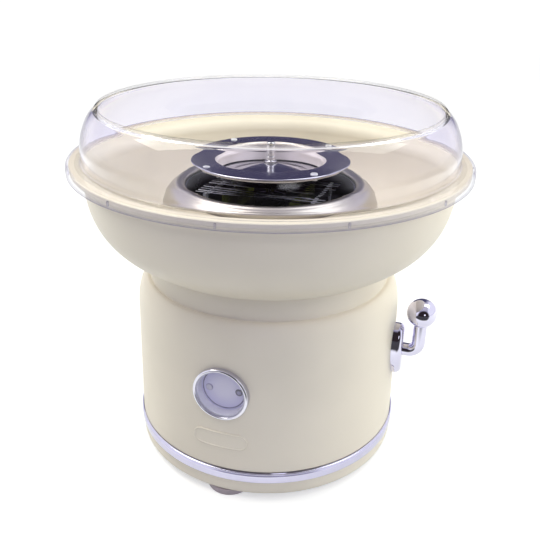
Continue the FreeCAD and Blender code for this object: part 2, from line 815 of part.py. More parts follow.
plate_bend = 1.0
head_radius = pot_radius - S.head_gap
well_radius = head_radius - S.head_annulus
rivet_circle = head_radius - S.rivet_inset
head_path = [
    (head_radius, S.head_level - S.head_lip),
    (head_radius, S.head_level - plate_bend),
    (head_radius - plate_bend * (1 - math.sqrt(0.5)), S.head_level - plate_bend * (1 - math.sqrt(0.5)),
     head_radius - plate_bend, S.head_level),
    (well_radius + 3.6, S.head_level),
    (well_radius + 1.2, S.head_level - 0.9, well_radius + 0.3, S.head_level - 3.2),
    (well_radius, S.head_level - S.well_depth),
]
RIVET_ANGLES = (-38.5, 51.5, 141.5, 231.5)
top_blank = sheet_form("top_blank", head_path, S.sheet)
rivet_radius = 1.5
rivet_top = [cylinder(f"top_rivet_hole_{n}", rivet_radius, 2.0,
                      around(rivet_circle, angle, S.head_level - 1.5))
             for n, angle in enumerate(RIVET_ANGLES)]
node("head_top_plate", cut("head_top_plate", top_blank, rivet_top))

lower_rim = S.head_level - 3.0
lower_floor = S.head_level - S.well_depth - 2.2
hub_top = S.head_level - 3.4
lower_path = [
    (head_radius - 2.4, lower_rim),
    (rivet_circle - 3.0, lower_rim),
    (well_radius + 2.0, lower_floor),
    (well_radius - 8.0, lower_floor),
    (S.hub_radius, hub_top - 2.0),
    (S.shaft_radius + 2.0, hub_top - 1.0),
]
lower_back = [(x, z + S.sheet) for x, z in lower_path]
lower_blank = revolved("lower_blank", closed(lower_path, lower_back))
rivet_low = [cylinder(f"low_rivet_hole_{n}", rivet_radius, 2.0,
                      around(rivet_circle, angle, lower_rim - 0.5))
             for n, angle in enumerate(RIVET_ANGLES)]
node("head_lower_pan", cut("head_lower_pan", lower_blank, rivet_low))

rivets = []
for n, angle in enumerate(RIVET_ANGLES):
    rivet_shank = cylinder(f"rivet_shank_{n}", rivet_radius - 0.03, S.head_level - lower_rim,
                           around(rivet_circle, angle, lower_rim))
    rivet_head = cylinder(f"rivet_head_{n}", rivet_radius + 1.0, 0.8,
                          around(rivet_circle, angle, S.head_level))
    rivet_tail = cylinder(f"rivet_tail_{n}", rivet_radius + 0.8, 0.7,
                          around(rivet_circle, angle, lower_rim - 0.7))
    rivet_spacer = cylinder(f"rivet_spacer_{n}", rivet_radius + 0.8, S.head_level - lower_rim - 2 * S.sheet,
                            around(rivet_circle, angle, lower_rim + S.sheet))
    rivets.append(fuse(f"rivet_{n}", [rivet_shank, rivet_head, rivet_tail, rivet_spacer]))
node("head_rivets", group("head_rivets", rivets))

shaft_top = S.head_level - 6.0
hub_bottom = shaft_top - 13.0
hub_blank = revolved("hub_blank", [
    (0.0, hub_bottom),
    (S.hub_radius - 0.5, hub_bottom),
    (S.hub_radius - 0.5, lower_floor - 0.2),
    (S.shaft_radius + 1.9, hub_top - 1.6),
    (S.shaft_radius + 1.9, hub_top + 0.6),
    (0.0, hub_top + 0.6),
])
bore_radius = S.shaft_radius + S.running_gap
pin_level = shaft_top - 8.0
pin_radius = 1.0
hub_bore = cylinder("hub_bore", bore_radius, shaft_top - hub_bottom + 0.4, (0.0, 0.0, hub_bottom))
hub_slot = box("hub_slot", 2 * S.hub_radius, 2 * pin_radius + 0.3, pin_level - hub_bottom + pin_radius + 0.2,
               (0.0, 0.0, hub_bottom))
node("head_hub", cut("head_hub", hub_blank, [hub_bore, hub_slot]))
node("head_post", revolved("head_post", [
    (0.0, hub_top + 0.6),
    (S.post_radius + 1.2, hub_top + 0.6),
    (S.post_radius + 1.2, hub_top + 2.0),
    (S.post_radius, hub_top + 2.8),
    (S.post_radius, hub_top + S.post_height - 1.2),
    (S.post_radius - 0.4, hub_top + S.post_height - 0.4, S.post_radius - 1.2, hub_top + S.post_height),
    (0.0, hub_top + S.post_height),
]))

# ---------------------------------------------------------------- motor shaft, pin and fan

plate_top = deck_underside - S.damper_height
can_top = plate_top - S.plate_thickness
can_bottom = can_top - S.can_length
cap_bottom = can_bottom - S.cap_height
shaft_bottom = cap_bottom + 1.0
shaft_rod = cylinder("shaft_rod", S.shaft_radius, shaft_top - shaft_bottom, (0.0, 0.0, shaft_bottom))
pin_hole = cylinder("shaft_pin_hole", pin_radius + 0.01, 20.0, (-10.0, 0.0, pin_level), ALONG_X)
node("motor_shaft", cut("motor_shaft", shaft_rod, [pin_hole]))
pin_length = 2 * S.hub_radius - 2.0
node("drive_pin", cylinder("drive_pin", pin_radius, pin_length, (-pin_length / 2, 0.0, pin_level), ALONG_X))

fan_level = plate_top + 1.4
fan_height = 5.4
fan_parts = [cylinder("fan_hub", 6.5, fan_height, (0.0, 0.0, fan_level)),
             cylinder("fan_disc", S.fan_radius - 1.0, 0.9, (0.0, 0.0, fan_level))]
BLADES = 9
fan_parts += [box(f"fan_blade_{n}", S.fan_radius - 5.5, 1.0, fan_height,
                  around((S.fan_radius + 5.5) / 2, 360.0 * n / BLADES, fan_level),
                  about_z(360.0 * n / BLADES + 14.0))
              for n in range(BLADES)]
fan_bore = cylinder("fan_bore", S.shaft_radius, fan_height, (0.0, 0.0, fan_level))
node("cooling_fan", cut("cooling_fan", fuse("fan_solid", fan_parts), [fan_bore]))

# ---------------------------------------------------------------- motor

bush_radius = 5.0
bush_height = 5.0
collar_level = can_top - bush_height
can_blank = revolved("can_blank", [
    (bush_radius, can_top),
    (S.can_radius - 1.5, can_top),
    (S.can_radius - 0.44, can_top - 0.44, S.can_radius, can_top - 1.5),
    (S.can_radius, can_bottom),
    (S.can_radius - S.can_wall, can_bottom),
    (S.can_radius - S.can_wall, can_top - S.can_wall),
    (bush_radius + 1.2, can_top - S.can_wall),
    (bush_radius + 1.2, collar_level),
    (bush_radius, collar_level),
])
node("motor_can", can_blank)
node("upper_bush", tube("upper_bush", bush_radius - 0.02, S.shaft_radius + 0.02, bush_height,
                        (0.0, 0.0, collar_level)))

cap_blank = revolved("cap_blank", [
    (bush_radius, cap_bottom),
    (S.can_radius - 2.0, cap_bottom),
    (S.can_radius, cap_bottom + 2.0),
    (S.can_radius, can_bottom),
    (S.can_radius - S.can_wall - 0.1, can_bottom),
    (S.can_radius - S.can_wall - 0.1, can_bottom + 3.0),
    (S.can_radius - S.can_wall - 1.6, can_bottom + 3.0),
    (S.can_radius - S.can_wall - 1.6, cap_bottom + 2.4),
    (bush_radius + 2.0, cap_bottom + 2.4),
    (bush_radius + 2.0, cap_bottom + S.cap_height),
    (bush_radius, cap_bottom + S.cap_height),
])
node("motor_end_cap", cap_blank)
node("lower_bush", tube("lower_bush", bush_radius - 0.02, S.shaft_radius + 0.02, S.cap_height - 0.5,
                        (0.0, 0.0, cap_bottom)))

magnet_height = S.can_length - 18.0
magnet_outer = S.can_radius - S.can_wall - 0.1
magnet_inner = magnet_outer - 3.6
magnets = []
for side, start in (("front", -150.0), ("back", 30.0)):
    block = cylinder(f"magnet_block_{side}", magnet_outer, magnet_height, (0.0, 0.0, can_bottom + 9.5),
                     about_z(start), 120.0)
    core = cylinder(f"magnet_core_{side}", magnet_inner, magnet_height, (0.0, 0.0, can_bottom + 9.5))
    magnets.append(cut(f"magnet_{side}", block, [core]))
node("field_magnets", group("field_magnets", magnets))

armature_radius = magnet_inner - 0.7
armature_height = magnet_height - 8.0
armature_level = can_bottom + 13.5
core_blank = cylinder("core_blank", armature_radius, armature_height, (0.0, 0.0, armature_level))
SLOTS = 8
core_slots = [box(f"core_slot_{n}", armature_radius * 0.5, 2.2, armature_height,
                  around(armature_radius * 0.8, 360.0 * n / SLOTS, armature_level),
                  about_z(360.0 * n / SLOTS))
              for n in range(SLOTS)]
core_slots.append(cylinder("core_bore", S.shaft_radius, armature_height, (0.0, 0.0, armature_level)))
node("armature_core", cut("armature_core", core_blank, core_slots))
coil_height = 4.0
COIL_ENDS = (("upper", armature_level + armature_height), ("lower", armature_level - coil_height))
windings = [tube(f"winding_{end}", armature_radius - 2.0, S.shaft_radius + 2.5, coil_height,
                 (0.0, 0.0, level))
            for end, level in COIL_ENDS]
node("armature_windings", group("armature_windings", windings))

commutator_radius = 6.4
commutator_level = can_bottom + 1.0
commutator_height = 7.5
commutator_solid = tube("commutator_solid", commutator_radius, S.shaft_radius, commutator_height,
                        (0.0, 0.0, commutator_level))
commutator_slots = [box(f"commutator_slot_{n}", 1.6, 0.5, commutator_height,
                        around(commutator_radius, 360.0 * n / SLOTS, commutator_level),
                        about_z(360.0 * n / SLOTS))
                    for n in range(SLOTS)]
node("commutator", cut("commutator", commutator_solid, commutator_slots))

brush_level = commutator_level + 1.5
brush_gap = 0.1
brush_length = 7.0
brushes = []
holders = []
for side, sign in (("left", -1), ("right", 1)):
    middle = commutator_radius + brush_gap + brush_length / 2
    brushes.append(box(f"brush_{side}", brush_length, 3.0, 4.5, (sign * middle, 0.0, brush_level)))
    outer = commutator_radius + 2.6 + brush_length / 2
    sleeve = box(f"holder_sleeve_{side}", brush_length, 4.6, 6.1, (sign * outer, 0.0, brush_level - 0.8))
    slot = box(f"holder_slot_{side}", brush_length, 3.05, 4.55, (sign * outer, 0.0, brush_level - 0.025))
    leg = box(f"holder_leg_{side}", 3.0, 4.6, brush_level - 0.8 - cap_bottom - 2.4,
              (sign * outer, 0.0, cap_bottom + 2.4))
    holders.append(fuse(f"brush_holder_{side}", [cut(f"holder_{side}", sleeve, [slot]), leg]))
node("brushes", group("brushes", brushes))
node("brush_holders", group("brush_holders", holders))

plate_blank = cylinder("plate_blank", S.plate_radius, S.plate_thickness, (0.0, 0.0, can_top))
plate_holes = [cylinder("plate_bush_hole", bush_radius + 2.0, S.plate_thickness, (0.0, 0.0, can_top))]
plate_holes += [cylinder(f"plate_screw_hole_{n}", screw_clearance, S.plate_thickness,
                         around(S.damper_circle, angle, can_top))
                for n, angle in enumerate(MOTOR_ANGLES)]
node("motor_plate", cut("motor_plate", plate_blank, plate_holes))
dampers = [tube(f"damper_{n}", S.damper_radius, screw_clearance, S.damper_height,
                around(S.damper_circle, angle, plate_top))
           for n, angle in enumerate(MOTOR_ANGLES)]
node("rubber_dampers", group("rubber_dampers", dampers))
motor_screws = []
for n, angle in enumerate(MOTOR_ANGLES):
    head = cylinder(f"motor_screw_head_{n}", S.screw_head_radius + 0.8, 2.0,
                    around(S.damper_circle, angle, can_top - 2.0))
    shank = cylinder(f"motor_screw_shank_{n}", S.screw_radius, S.plate_thickness + S.damper_height + 2.3,
                     around(S.damper_circle, angle, can_top))
    motor_screws.append(fuse(f"motor_screw_{n}", [head, shank]))
node("motor_screws", group("motor_screws", motor_screws))

# ---------------------------------------------------------------- thermal cutout

cutout_radius = 6.0
cutout_height = 5.0
cutout_can = cylinder("cutout_can", cutout_radius, cutout_height, (0.0, 30.0, S.shield_level - cutout_height))
cutout_tabs = [box(f"cutout_tab_{side}", 5.0, 3.0, 0.8,
                   (sign * (cutout_radius + 1.5), 30.0, S.shield_level - 2.4))
               for side, sign in (("left", -1), ("right", 1))]
node("thermal_cutout", fuse("thermal_cutout", [cutout_can] + cutout_tabs))

# ---------------------------------------------------------------- badge: housing, dial, lamps, lens and bezel

cone_gap = 0.08
shell_cone_foot = band_top
cone_height = S.shoulder_start - shell_cone_foot


def shell_cone(name, gap):
    """The outside of the body shell's wall, grown by a gap."""
    return cone(name, S.shell_foot_radius + gap, shell_top_radius + gap, cone_height,
                (0.0, 0.0, shell_cone_foot))


badge_front = S.shell_foot_radius + S.badge_proud
housing_radius = badge_hole_radius - 0.15
lens_thickness = 0.8
bezel_lip = 1.0
lens_front = badge_front - bezel_lip
lens_back = lens_front - lens_thickness
dial_thickness = 1.2
dial_front = badge_front - S.badge_recess
dial_back = dial_front - dial_thickness
housing_back = dial_back - 1.3
housing_wall = 1.2
cup = cylinder("badge_cup", housing_radius, lens_back - housing_back,
               (0.0, -housing_back, S.badge_level), TO_FRONT)
hollow = cylinder("badge_hollow", housing_radius - housing_wall, lens_back - dial_back,
                  (0.0, -dial_back, S.badge_level), TO_FRONT)
LAMPS = (("left", -1), ("right", 1))
lamp_level = S.badge_level - S.lamp_drop
lamp_wells = [cylinder(f"badge_lamp_well_{side}", S.lamp_radius, 2.0,
                       (sign * S.lamp_offset, -(dial_back - 2.0), lamp_level), TO_FRONT)
              for side, sign in LAMPS]
node("badge_housing", cut("badge_housing", cup, [hollow] + lamp_wells))
dial_disc = cylinder("dial_disc", housing_radius - housing_wall - 0.1, dial_thickness,
                     (0.0, -dial_back, S.badge_level), TO_FRONT)
dial_holes = [cylinder(f"dial_hole_{side}", S.lamp_radius, dial_thickness,
                       (sign * S.lamp_offset, -dial_back, lamp_level), TO_FRONT)
              for side, sign in LAMPS]
node("badge_dial", cut("badge_dial", dial_disc, dial_holes))
for lamp, sign in (("power_lamp", -1), ("heat_lamp", 1)):
    stem = cylinder(lamp + "_stem", S.lamp_radius - 0.1, dial_thickness + 9.0,
                    (sign * S.lamp_offset, -(dial_back - 9.0), lamp_level), TO_FRONT)
    cap = cylinder(lamp + "_cap", S.lamp_radius - 0.4, 0.5,
                   (sign * S.lamp_offset, -dial_front, lamp_level), TO_FRONT)
    node(lamp, fuse(lamp, [stem, cap]))
lens_radius = S.badge_radius - 1.4
node("badge_lens", cylinder("badge_lens", lens_radius - 0.1, lens_thickness,
                            (0.0, -lens_back, S.badge_level), TO_FRONT))
bezel_depth = 7.0
bezel_ring = cylinder("bezel_ring", S.badge_radius, bezel_depth,
                      (0.0, -(badge_front - bezel_depth), S.badge_level), TO_FRONT)
bezel_bore = cylinder("bezel_bore", lens_radius, bezel_depth - bezel_lip,
                      (0.0, -(badge_front - bezel_depth), S.badge_level), TO_FRONT)
bezel_mouth = cylinder("bezel_mouth", S.badge_radius - 2.2, bezel_depth,
                       (0.0, -(badge_front - bezel_depth), S.badge_level), TO_FRONT)
bezel_cut = cut("bezel_blank", bezel_ring, [bezel_bore, bezel_mouth])
node("badge_bezel", cut("badge_bezel", bezel_cut, [shell_cone("bezel_saddle", cone_gap)]))

# ---------------------------------------------------------------- name plate

end_radius = S.plate_width / 2
straight = S.plate_length / 2 - end_radius
plate_depth = 16.0
plate_back = S.shell_foot_radius - 12.0
plate_bar = box("plate_bar", 2 * straight, plate_depth, S.plate_width,
                (-S.plate_shift, -(plate_back + plate_depth / 2), S.plate_level - end_radius))
plate_ends = [cylinder(f"plate_end_{side}", end_radius, plate_depth,
                       (sign * straight - S.plate_shift, -plate_back, S.plate_level), TO_FRONT)
              for side, sign in (("left", -1), ("right", 1))]
plate_outline = fuse("plate_outline", [plate_bar] + plate_ends)
plate_sheet = common("plate_sheet", plate_outline, shell_cone("plate_front", S.plate_rise))
node("name_plate", cut("name_plate", plate_sheet, [shell_cone("plate_seat", 0.02)]))

# ---------------------------------------------------------------- lever, its plate and knob

scutcheon_front = S.shell_foot_radius + S.scutcheon_proud
scutcheon_back = shell_top_radius - 3.6
oval = doc.addObject("Part::Ellipse", "scutcheon_oval")
bind(oval, "MajorRadius", S.scutcheon_length / 2)
bind(oval, "MinorRadius", S.scutcheon_width / 2)
oval_turn = FreeCAD.Rotation(FreeCAD.Vector(0, 0, 1), FreeCAD.Vector(0, 1, 0), FreeCAD.Vector(1, 0, 0), "ZXY")
place(oval, (scutcheon_back, 0.0, S.lever_level), oval_turn)
block = doc.addObject("Part::Extrusion", "scutcheon_block")
block.Base = oval
block.DirMode = "Custom"
block.Dir = FreeCAD.Vector(1, 0, 0)
bind(block, "LengthFwd", scutcheon_front - scutcheon_back)
block.Solid = True
doc.recompute()
rounded = doc.addObject("Part::Fillet", "scutcheon_rounded")
rounded.Base = block
front_edges = [index for index, edge in enumerate(block.Shape.Edges, start=1)
               if abs(edge.CenterOfMass.x - scutcheon_front.number) < 0.01]
rounded.Edges = [(index, 4.4, 4.4) for index in front_edges]
stem_gap_radius = stem_radius + S.running_gap
scutcheon_bore = cylinder("scutcheon_bore", stem_gap_radius, 20.0,
                          (scutcheon_back - 1.0, 0.0, S.lever_level), ALONG_X)
scutcheon_cuts = [shell_cone("scutcheon_saddle", 0.02), scutcheon_bore]
node("lever_scutcheon", cut("lever_scutcheon", rounded, scutcheon_cuts))

stem_start = S.shell_foot_radius - 19.6
lever_reach = S.shell_foot_radius + S.lever_overhang
arm_body = new_body("lever_arm_body")
arm_section = new_sketch(arm_body, "arm_section", "YZ_Plane")
arm_section.AttachmentOffset = FreeCAD.Placement(FreeCAD.Vector(0, 0, stem_start.number), UPRIGHT)
arm_section.setExpression("AttachmentOffset.Base.z", stem_start.text)
section_circle = Part.Circle(FreeCAD.Vector(0, S.lever_level.number, 0), FreeCAD.Vector(0, 0, 1),
                             stem_radius.number)
section = arm_section.addGeometry(section_circle, False)
pin_point(arm_section, section, 3, 0.0, S.lever_level)
radius_rule = arm_section.addConstraint(Sketcher.Constraint("Radius", section, stem_radius.number))
arm_section.setExpression(f"Constraints[{radius_rule}]", stem_radius.text)
arm_route = new_sketch(arm_body, "arm_route", "XZ_Plane")
knob_level = S.lever_level + S.lever_rise
arm_top = knob_level - S.knob_radius + 4.5
bend = S.lever_bend
bend_corner = bend * (1 - math.sqrt(0.5))
route_points = [
    (stem_start, S.lever_level),
    (lever_reach - bend, S.lever_level),
    (lever_reach - bend_corner, S.lever_level + bend_corner, lever_reach, S.lever_level + bend),
    (lever_reach, arm_top),
]
previous = None
for here, step in zip(route_points, route_points[1:]):
    points = [flat_point(pair) for pair in (here[-2:], step[:2], step[-2:])]
    if len(step) == 2:
        edge = arm_route.addGeometry(Part.LineSegment(points[0], points[2]), False)
        begin, finish = 1, 2
    else:
        edge = arm_route.addGeometry(Part.Arc(*points), False)
        begin, finish = 1, 2
        via = arm_route.addGeometry(Part.Point(points[1]), True)
        pin_point(arm_route, via, 1, *step[:2])
        arm_route.addConstraint(Sketcher.Constraint("PointOnObject", via, 1, edge))
    pin_point(arm_route, edge, begin, *here[-2:])
    if previous is not None:
        arm_route.addConstraint(Sketcher.Constraint("Coincident", *previous, edge, begin))
    previous = (edge, finish)
pin_point(arm_route, previous[0], previous[1], *route_points[-1])
arm_pipe = arm_body.newObject("PartDesign::AdditivePipe", "arm_pipe")
arm_pipe.Profile = arm_section
arm_pipe.Spine = arm_route
node("lever_arm", arm_body)

knob_ball = ball("knob_ball", S.knob_radius, (lever_reach, 0.0, knob_level))
knob_bore = cylinder("knob_bore", stem_radius + 0.02, S.knob_radius,
                     (lever_reach, 0.0, arm_top - S.knob_radius))
node("lever_knob", cut("lever_knob", knob_ball, [knob_bore]))

wall_at_lever = S.shell_foot_radius - 3.6
clip_at = wall_at_lever - 2.8
node("lever_clip", tube("lever_clip", stem_radius + 3.6, stem_radius + 0.02, 1.2,
                        (clip_at, 0.0, S.lever_level), ALONG_X))
cam_at = S.shell_foot_radius - 15.6
cam_disc = cylinder("cam_disc", S.cam_radius, 5.0, (cam_at, 0.0, S.lever_level + S.cam_throw), ALONG_X)
cam_bore = cylinder("cam_bore", stem_radius + 0.01, 5.0, (cam_at, 0.0, S.lever_level), ALONG_X)
node("lever_cam", cut("lever_cam", cam_disc, [cam_bore]))

# ---------------------------------------------------------------- switch and its bracket

switch_x = cam_at + 2.5
plunger_top = S.lever_level + S.cam_throw - S.cam_radius - 0.1
plunger_radius = 2.4
plunger_length = 9.0
switch_top = plunger_top - S.cam_throw - 1.0
switch_height = 15.0
switch_bottom = switch_top - switch_height
node("switch_plunger", cylinder("switch_plunger", plunger_radius, plunger_length,
                                (switch_x, 0.0, plunger_top - plunger_length)))
switch_block = box("switch_block", 11.0, 28.0, switch_height, (switch_x - 1.0, 0.0, switch_bottom))
plunger_well = cylinder("plunger_well", plunger_radius + 0.06, 9.5, (switch_x, 0.0, switch_top - 9.5))
switch_tabs = [box(f"switch_tab_{n}", 0.8, 4.0, 7.0, (switch_x - 3.0, (n - 1) * 9.0, switch_bottom - 7.0))
               for n in range(3)]
node("switch_body", fuse("switch_body", [cut("switch_case", switch_block, [plunger_well])] + switch_tabs))

bracket_back = switch_x - 6.5
node("switch_bracket", padded("switch_bracket", "XZ_Plane", [
    (bracket_back - 12.0, pan_floor),
    (bracket_back, pan_floor),
    (bracket_back, switch_top),
    (bracket_back - 1.4, switch_top),
    (bracket_back - 1.4, pan_floor + 1.4),
    (bracket_back - 12.0, pan_floor + 1.4),
], 18.0, -9.0))

# ---------------------------------------------------------------- cord gland

gland_face = S.shell_foot_radius + 2.4
gland_length = 12.0
gland_end = (0.0, gland_face - gland_length, S.gland_level)
flange = cylinder("gland_flange", S.gland_radius + 2.6, 6.0, (0.0, gland_face - 6.0, S.gland_level), TO_BACK)
flange_ring = cut("gland_flange_ring", flange, [shell_cone("gland_saddle", 0.02)])
barrel = cylinder("gland_barrel", S.gland_radius, gland_length, gland_end, TO_BACK)
inner_ring = cylinder("gland_inner_ring", S.gland_radius + 1.2, 2.0, gland_end, TO_BACK)
gland_bore = cylinder("gland_bore_hole", S.gland_bore, gland_length, gland_end, TO_BACK)
node("cord_gland", cut("cord_gland", fuse("gland_solid", [flange_ring, barrel, inner_ring]), [gland_bore]))

# ---------------------------------------------------------------- terminal block and rectifier board

block_at = (-38.0, spigot_inner - 37.0)
block_body = box("block_body", 34.0, 13.0, 15.0, block_at + (pan_floor,))
screw_spots = [(block_at[0] + (n - 1) * 10.0, block_at[1], pan_floor + 6.0) for n in range(3)]
block_holes = [cylinder(f"block_hole_{n}", 2.0, 9.0, spot) for n, spot in enumerate(screw_spots)]
block_screws = [cylinder(f"block_screw_{n}", 1.9, 5.0, spot) for n, spot in enumerate(screw_spots)]
node("terminal_block", cut("terminal_block", block_body, block_holes))
node("terminal_screws", group("terminal_screws", block_screws))

board_at = (38.0, spigot_inner - 37.0)
board = box("board_plate", 34.0, 24.0, 1.6, board_at + (pan_floor + 5.0,))
board_parts = [board]
board_parts += [cylinder(f"board_leg_{n}", 2.2, 5.0, (board_at[0] + x, board_at[1] + y, pan_floor))
                for n, (x, y) in enumerate(((-13, -8), (13, -8), (-13, 8), (13, 8)))]
board_parts += [cylinder(f"board_diode_{n}", 1.6, 8.0, (board_at[0] - 4.0, board_at[1] + (n - 1.5) * 5.0,
                                                        pan_floor + 8.0), ALONG_X)
                for n in range(4)]
node("rectifier_board", fuse("rectifier_board", board_parts))

# ---------------------------------------------------------------- check and write

doc.recompute()
os.makedirs("parts", exist_ok=True)
for item in doc.Objects:
    if "Invalid" in item.State or "Error" in item.State:
        raise RuntimeError(f"{item.Name} ({item.Label}) failed: {item.State}")
for name, item in NODES.items():
    if item.Shape.isNull() or not item.Shape.isValid() or not item.Shape.Solids:
        raise RuntimeError(f"{name} has no valid solid")
for name, item in NODES.items():
    item.Shape.exportStep(f"parts/{name}.step")
    bounds = item.Shape.BoundBox
    print(f"{name:20s} solids {len(item.Shape.Solids):2d} volume {item.Shape.Volume:10.1f}"
          f"  z {bounds.ZMin:7.2f} to {bounds.ZMax:7.2f}  x {bounds.XMin:7.2f} to {bounds.XMax:7.2f}")
print(len(NODES), "nodes")
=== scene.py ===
import math

import bmesh
import bpy
from mathutils import Matrix, Vector


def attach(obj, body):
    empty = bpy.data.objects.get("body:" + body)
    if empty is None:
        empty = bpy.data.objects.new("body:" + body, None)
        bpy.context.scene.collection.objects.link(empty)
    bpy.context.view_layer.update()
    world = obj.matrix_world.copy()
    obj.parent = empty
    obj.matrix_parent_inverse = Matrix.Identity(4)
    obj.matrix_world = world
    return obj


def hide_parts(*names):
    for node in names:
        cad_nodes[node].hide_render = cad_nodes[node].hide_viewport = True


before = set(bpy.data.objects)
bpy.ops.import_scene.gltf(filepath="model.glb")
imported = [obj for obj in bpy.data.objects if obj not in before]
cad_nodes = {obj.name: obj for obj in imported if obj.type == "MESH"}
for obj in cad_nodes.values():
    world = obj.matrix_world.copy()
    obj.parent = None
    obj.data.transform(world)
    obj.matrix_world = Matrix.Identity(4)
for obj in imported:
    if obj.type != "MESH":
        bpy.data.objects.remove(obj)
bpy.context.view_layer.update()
scene = bpy.context.scene
MM = 0.001

# ---------------------------------------------------------------- Camera
# It stands to the right of the badge and looks down on the bowl, rolled by about a degree. The lens is
# given by its focal length in pixels of a frame 540 pixels wide.

camera_turn = math.radians(18.0)
camera_tilt = math.radians(24.72)
camera_roll = math.radians(0.92)
camera_back = 0.486
camera_side = 0.00073
camera_height = 0.362
focal_pixels = 680.0
frame_pixels = 540.0

to_right = Vector((math.cos(camera_turn), math.sin(camera_turn), 0.0))
to_machine = Vector((-math.sin(camera_turn), math.cos(camera_turn), 0.0))
ahead = to_machine * math.cos(camera_tilt) - Vector((0, 0, 1)) * math.sin(camera_tilt)
above = to_machine * math.sin(camera_tilt) + Vector((0, 0, 1)) * math.cos(camera_tilt)
rolled_right = to_right * math.cos(camera_roll) + above * math.sin(camera_roll)
rolled_above = above * math.cos(camera_roll) - to_right * math.sin(camera_roll)
camera = bpy.data.objects.new("Camera", bpy.data.cameras.new("Camera"))
camera.data.sensor_width = 36.0
camera.data.lens = 36.0 * focal_pixels / frame_pixels
camera.data.clip_end = 60.0
stand = to_right * camera_side - to_machine * camera_back + Vector((0, 0, camera_height))
camera.matrix_world = Matrix.Translation(stand) @ Matrix((
    (rolled_right.x, rolled_above.x, -ahead.x, 0),
    (rolled_right.y, rolled_above.y, -ahead.y, 0),
    (rolled_right.z, rolled_above.z, -ahead.z, 0),
    (0, 0, 0, 1),
))
scene.collection.objects.link(camera)
scene.camera = camera
scene.view_settings.view_transform = "Standard"

# ---------------------------------------------------------------- Floor
# A wide white sweep under the machine, which keeps its soft shadow. It looks white to the camera. In
# metal it is a little dimmer, and its end in front of the machine is dark, like the edge of a table.


class Flow:
    """A value in a material's nodes. Arithmetic on it adds Math nodes."""

    def __init__(self, finish, socket):
        self.finish = finish
        self.socket = socket

    def step(self, operation, *values):
        return self.finish.node("Math", {"operation": operation}, dict(enumerate(values)))

    def __add__(self, other):
        return self.step("ADD", self, other)

    __radd__ = __add__

    def __sub__(self, other):
        return self.step("SUBTRACT", self, other)

    def __rsub__(self, other):
        return self.step("SUBTRACT", other, self)

    def __mul__(self, other):
        return self.step("MULTIPLY", self, other)

    __rmul__ = __mul__

    def __truediv__(self, other):
        return self.step("DIVIDE", self, other)

    def __pow__(self, power):
        return self.step("POWER", self, power)

    def __abs__(self):
        return self.step("ABSOLUTE", self)

    def above(self, edge):
        return self.step("GREATER_THAN", self, edge)

    def below(self, edge):
        return self.step("LESS_THAN", self, edge)

    def sine(self):
        return self.step("SINE", self)

    def either(self, other):
        """The larger of two values."""
        return self.step("MAXIMUM", self, other)

    def ramp(self, low, high, start=0.0, end=1.0):
        """Start below low, end above high, and a smooth rise between."""
        return self.finish.node("MapRange", {"interpolation_type": "SMOOTHSTEP"}, {
            "Value": self, "From Min": low, "From Max": high, "To Min": start, "To Max": end})


class Finish:
    """A material, with one method that adds any node it needs."""

    def __init__(self, name, **sockets):
        self.material = bpy.data.materials.new(name)
        self.material.use_nodes = True
        self.tree = self.material.node_tree
        self.shader = self.tree.nodes["Principled BSDF"]
        for socket, value in sockets.items():
            self.put(self.shader.inputs[socket.replace("_", " ")], value)

    def put(self, socket, value):
        if isinstance(value, Flow):
            self.tree.links.new(value.socket, socket)
        elif isinstance(value, (tuple, list)) and len(value) == 3 and socket.type == "RGBA":
            socket.default_value = (*value, 1.0)
        else:
            socket.default_value = value

    def set(self, **sockets):
        for socket, value in sockets.items():
            self.put(self.shader.inputs[socket.replace("_", " ")], value)
        return self

    def node(self, kind, settings=None, inputs=None, output=0):
        made = self.tree.nodes.new("ShaderNode" + kind)
        for setting, value in (settings or {}).items():
            setattr(made, setting, value)
        for socket, value in (inputs or {}).items():
            self.put(made.inputs[socket], value)
        return Flow(self, made.outputs[output])

    def place(self, scale=(1, 1, 1), move=(0, 0, 0), turn=(0, 0, 0)):
        here = self.node("TexCoord", output="Object")
        return self.node("Mapping", {}, {"Vector": here, "Scale": scale, "Location": move, "Rotation": turn})

    def noise(self, scale, detail=2.0, where=None, roughness=0.5):
        return self.node("TexNoise", {}, {"Vector": where or self.node("TexCoord", output="Object"),
                                          "Scale": scale, "Detail": detail, "Roughness": roughness})

    def mix(self, share, low, high):
        mixed = self.tree.nodes.new("ShaderNodeMix")
        mixed.data_type = "RGBA"
        for index, value in ((0, share), (6, low), (7, high)):
            self.put(mixed.inputs[index], value)
        return Flow(self, mixed.outputs[2])

    def bump(self, height, strength=0.3, distance=0.0002):
        return self.node("Bump", {}, {"Height": height, "Strength": strength, "Distance": distance})

    def parts(self, where=None):
        """The three coordinates of a place."""
        split = self.tree.nodes.new("ShaderNodeSeparateXYZ")
        self.put(split.inputs[0], where or self.node("TexCoord", output="Object"))
        return [Flow(self, output) for output in split.outputs]


def reach_of(x, y):
    """The distance from the axis that x and y are measured from."""
    return (x * x + y * y) ** 0.5


def linear(red, green, blue):
    """A colour given as 0 to 255 values, as light."""
    return tuple(((value / 255 + 0.055) / 1.055) ** 2.4 if value > 10 else value / 255 / 12.92
                 for value in (red, green, blue))


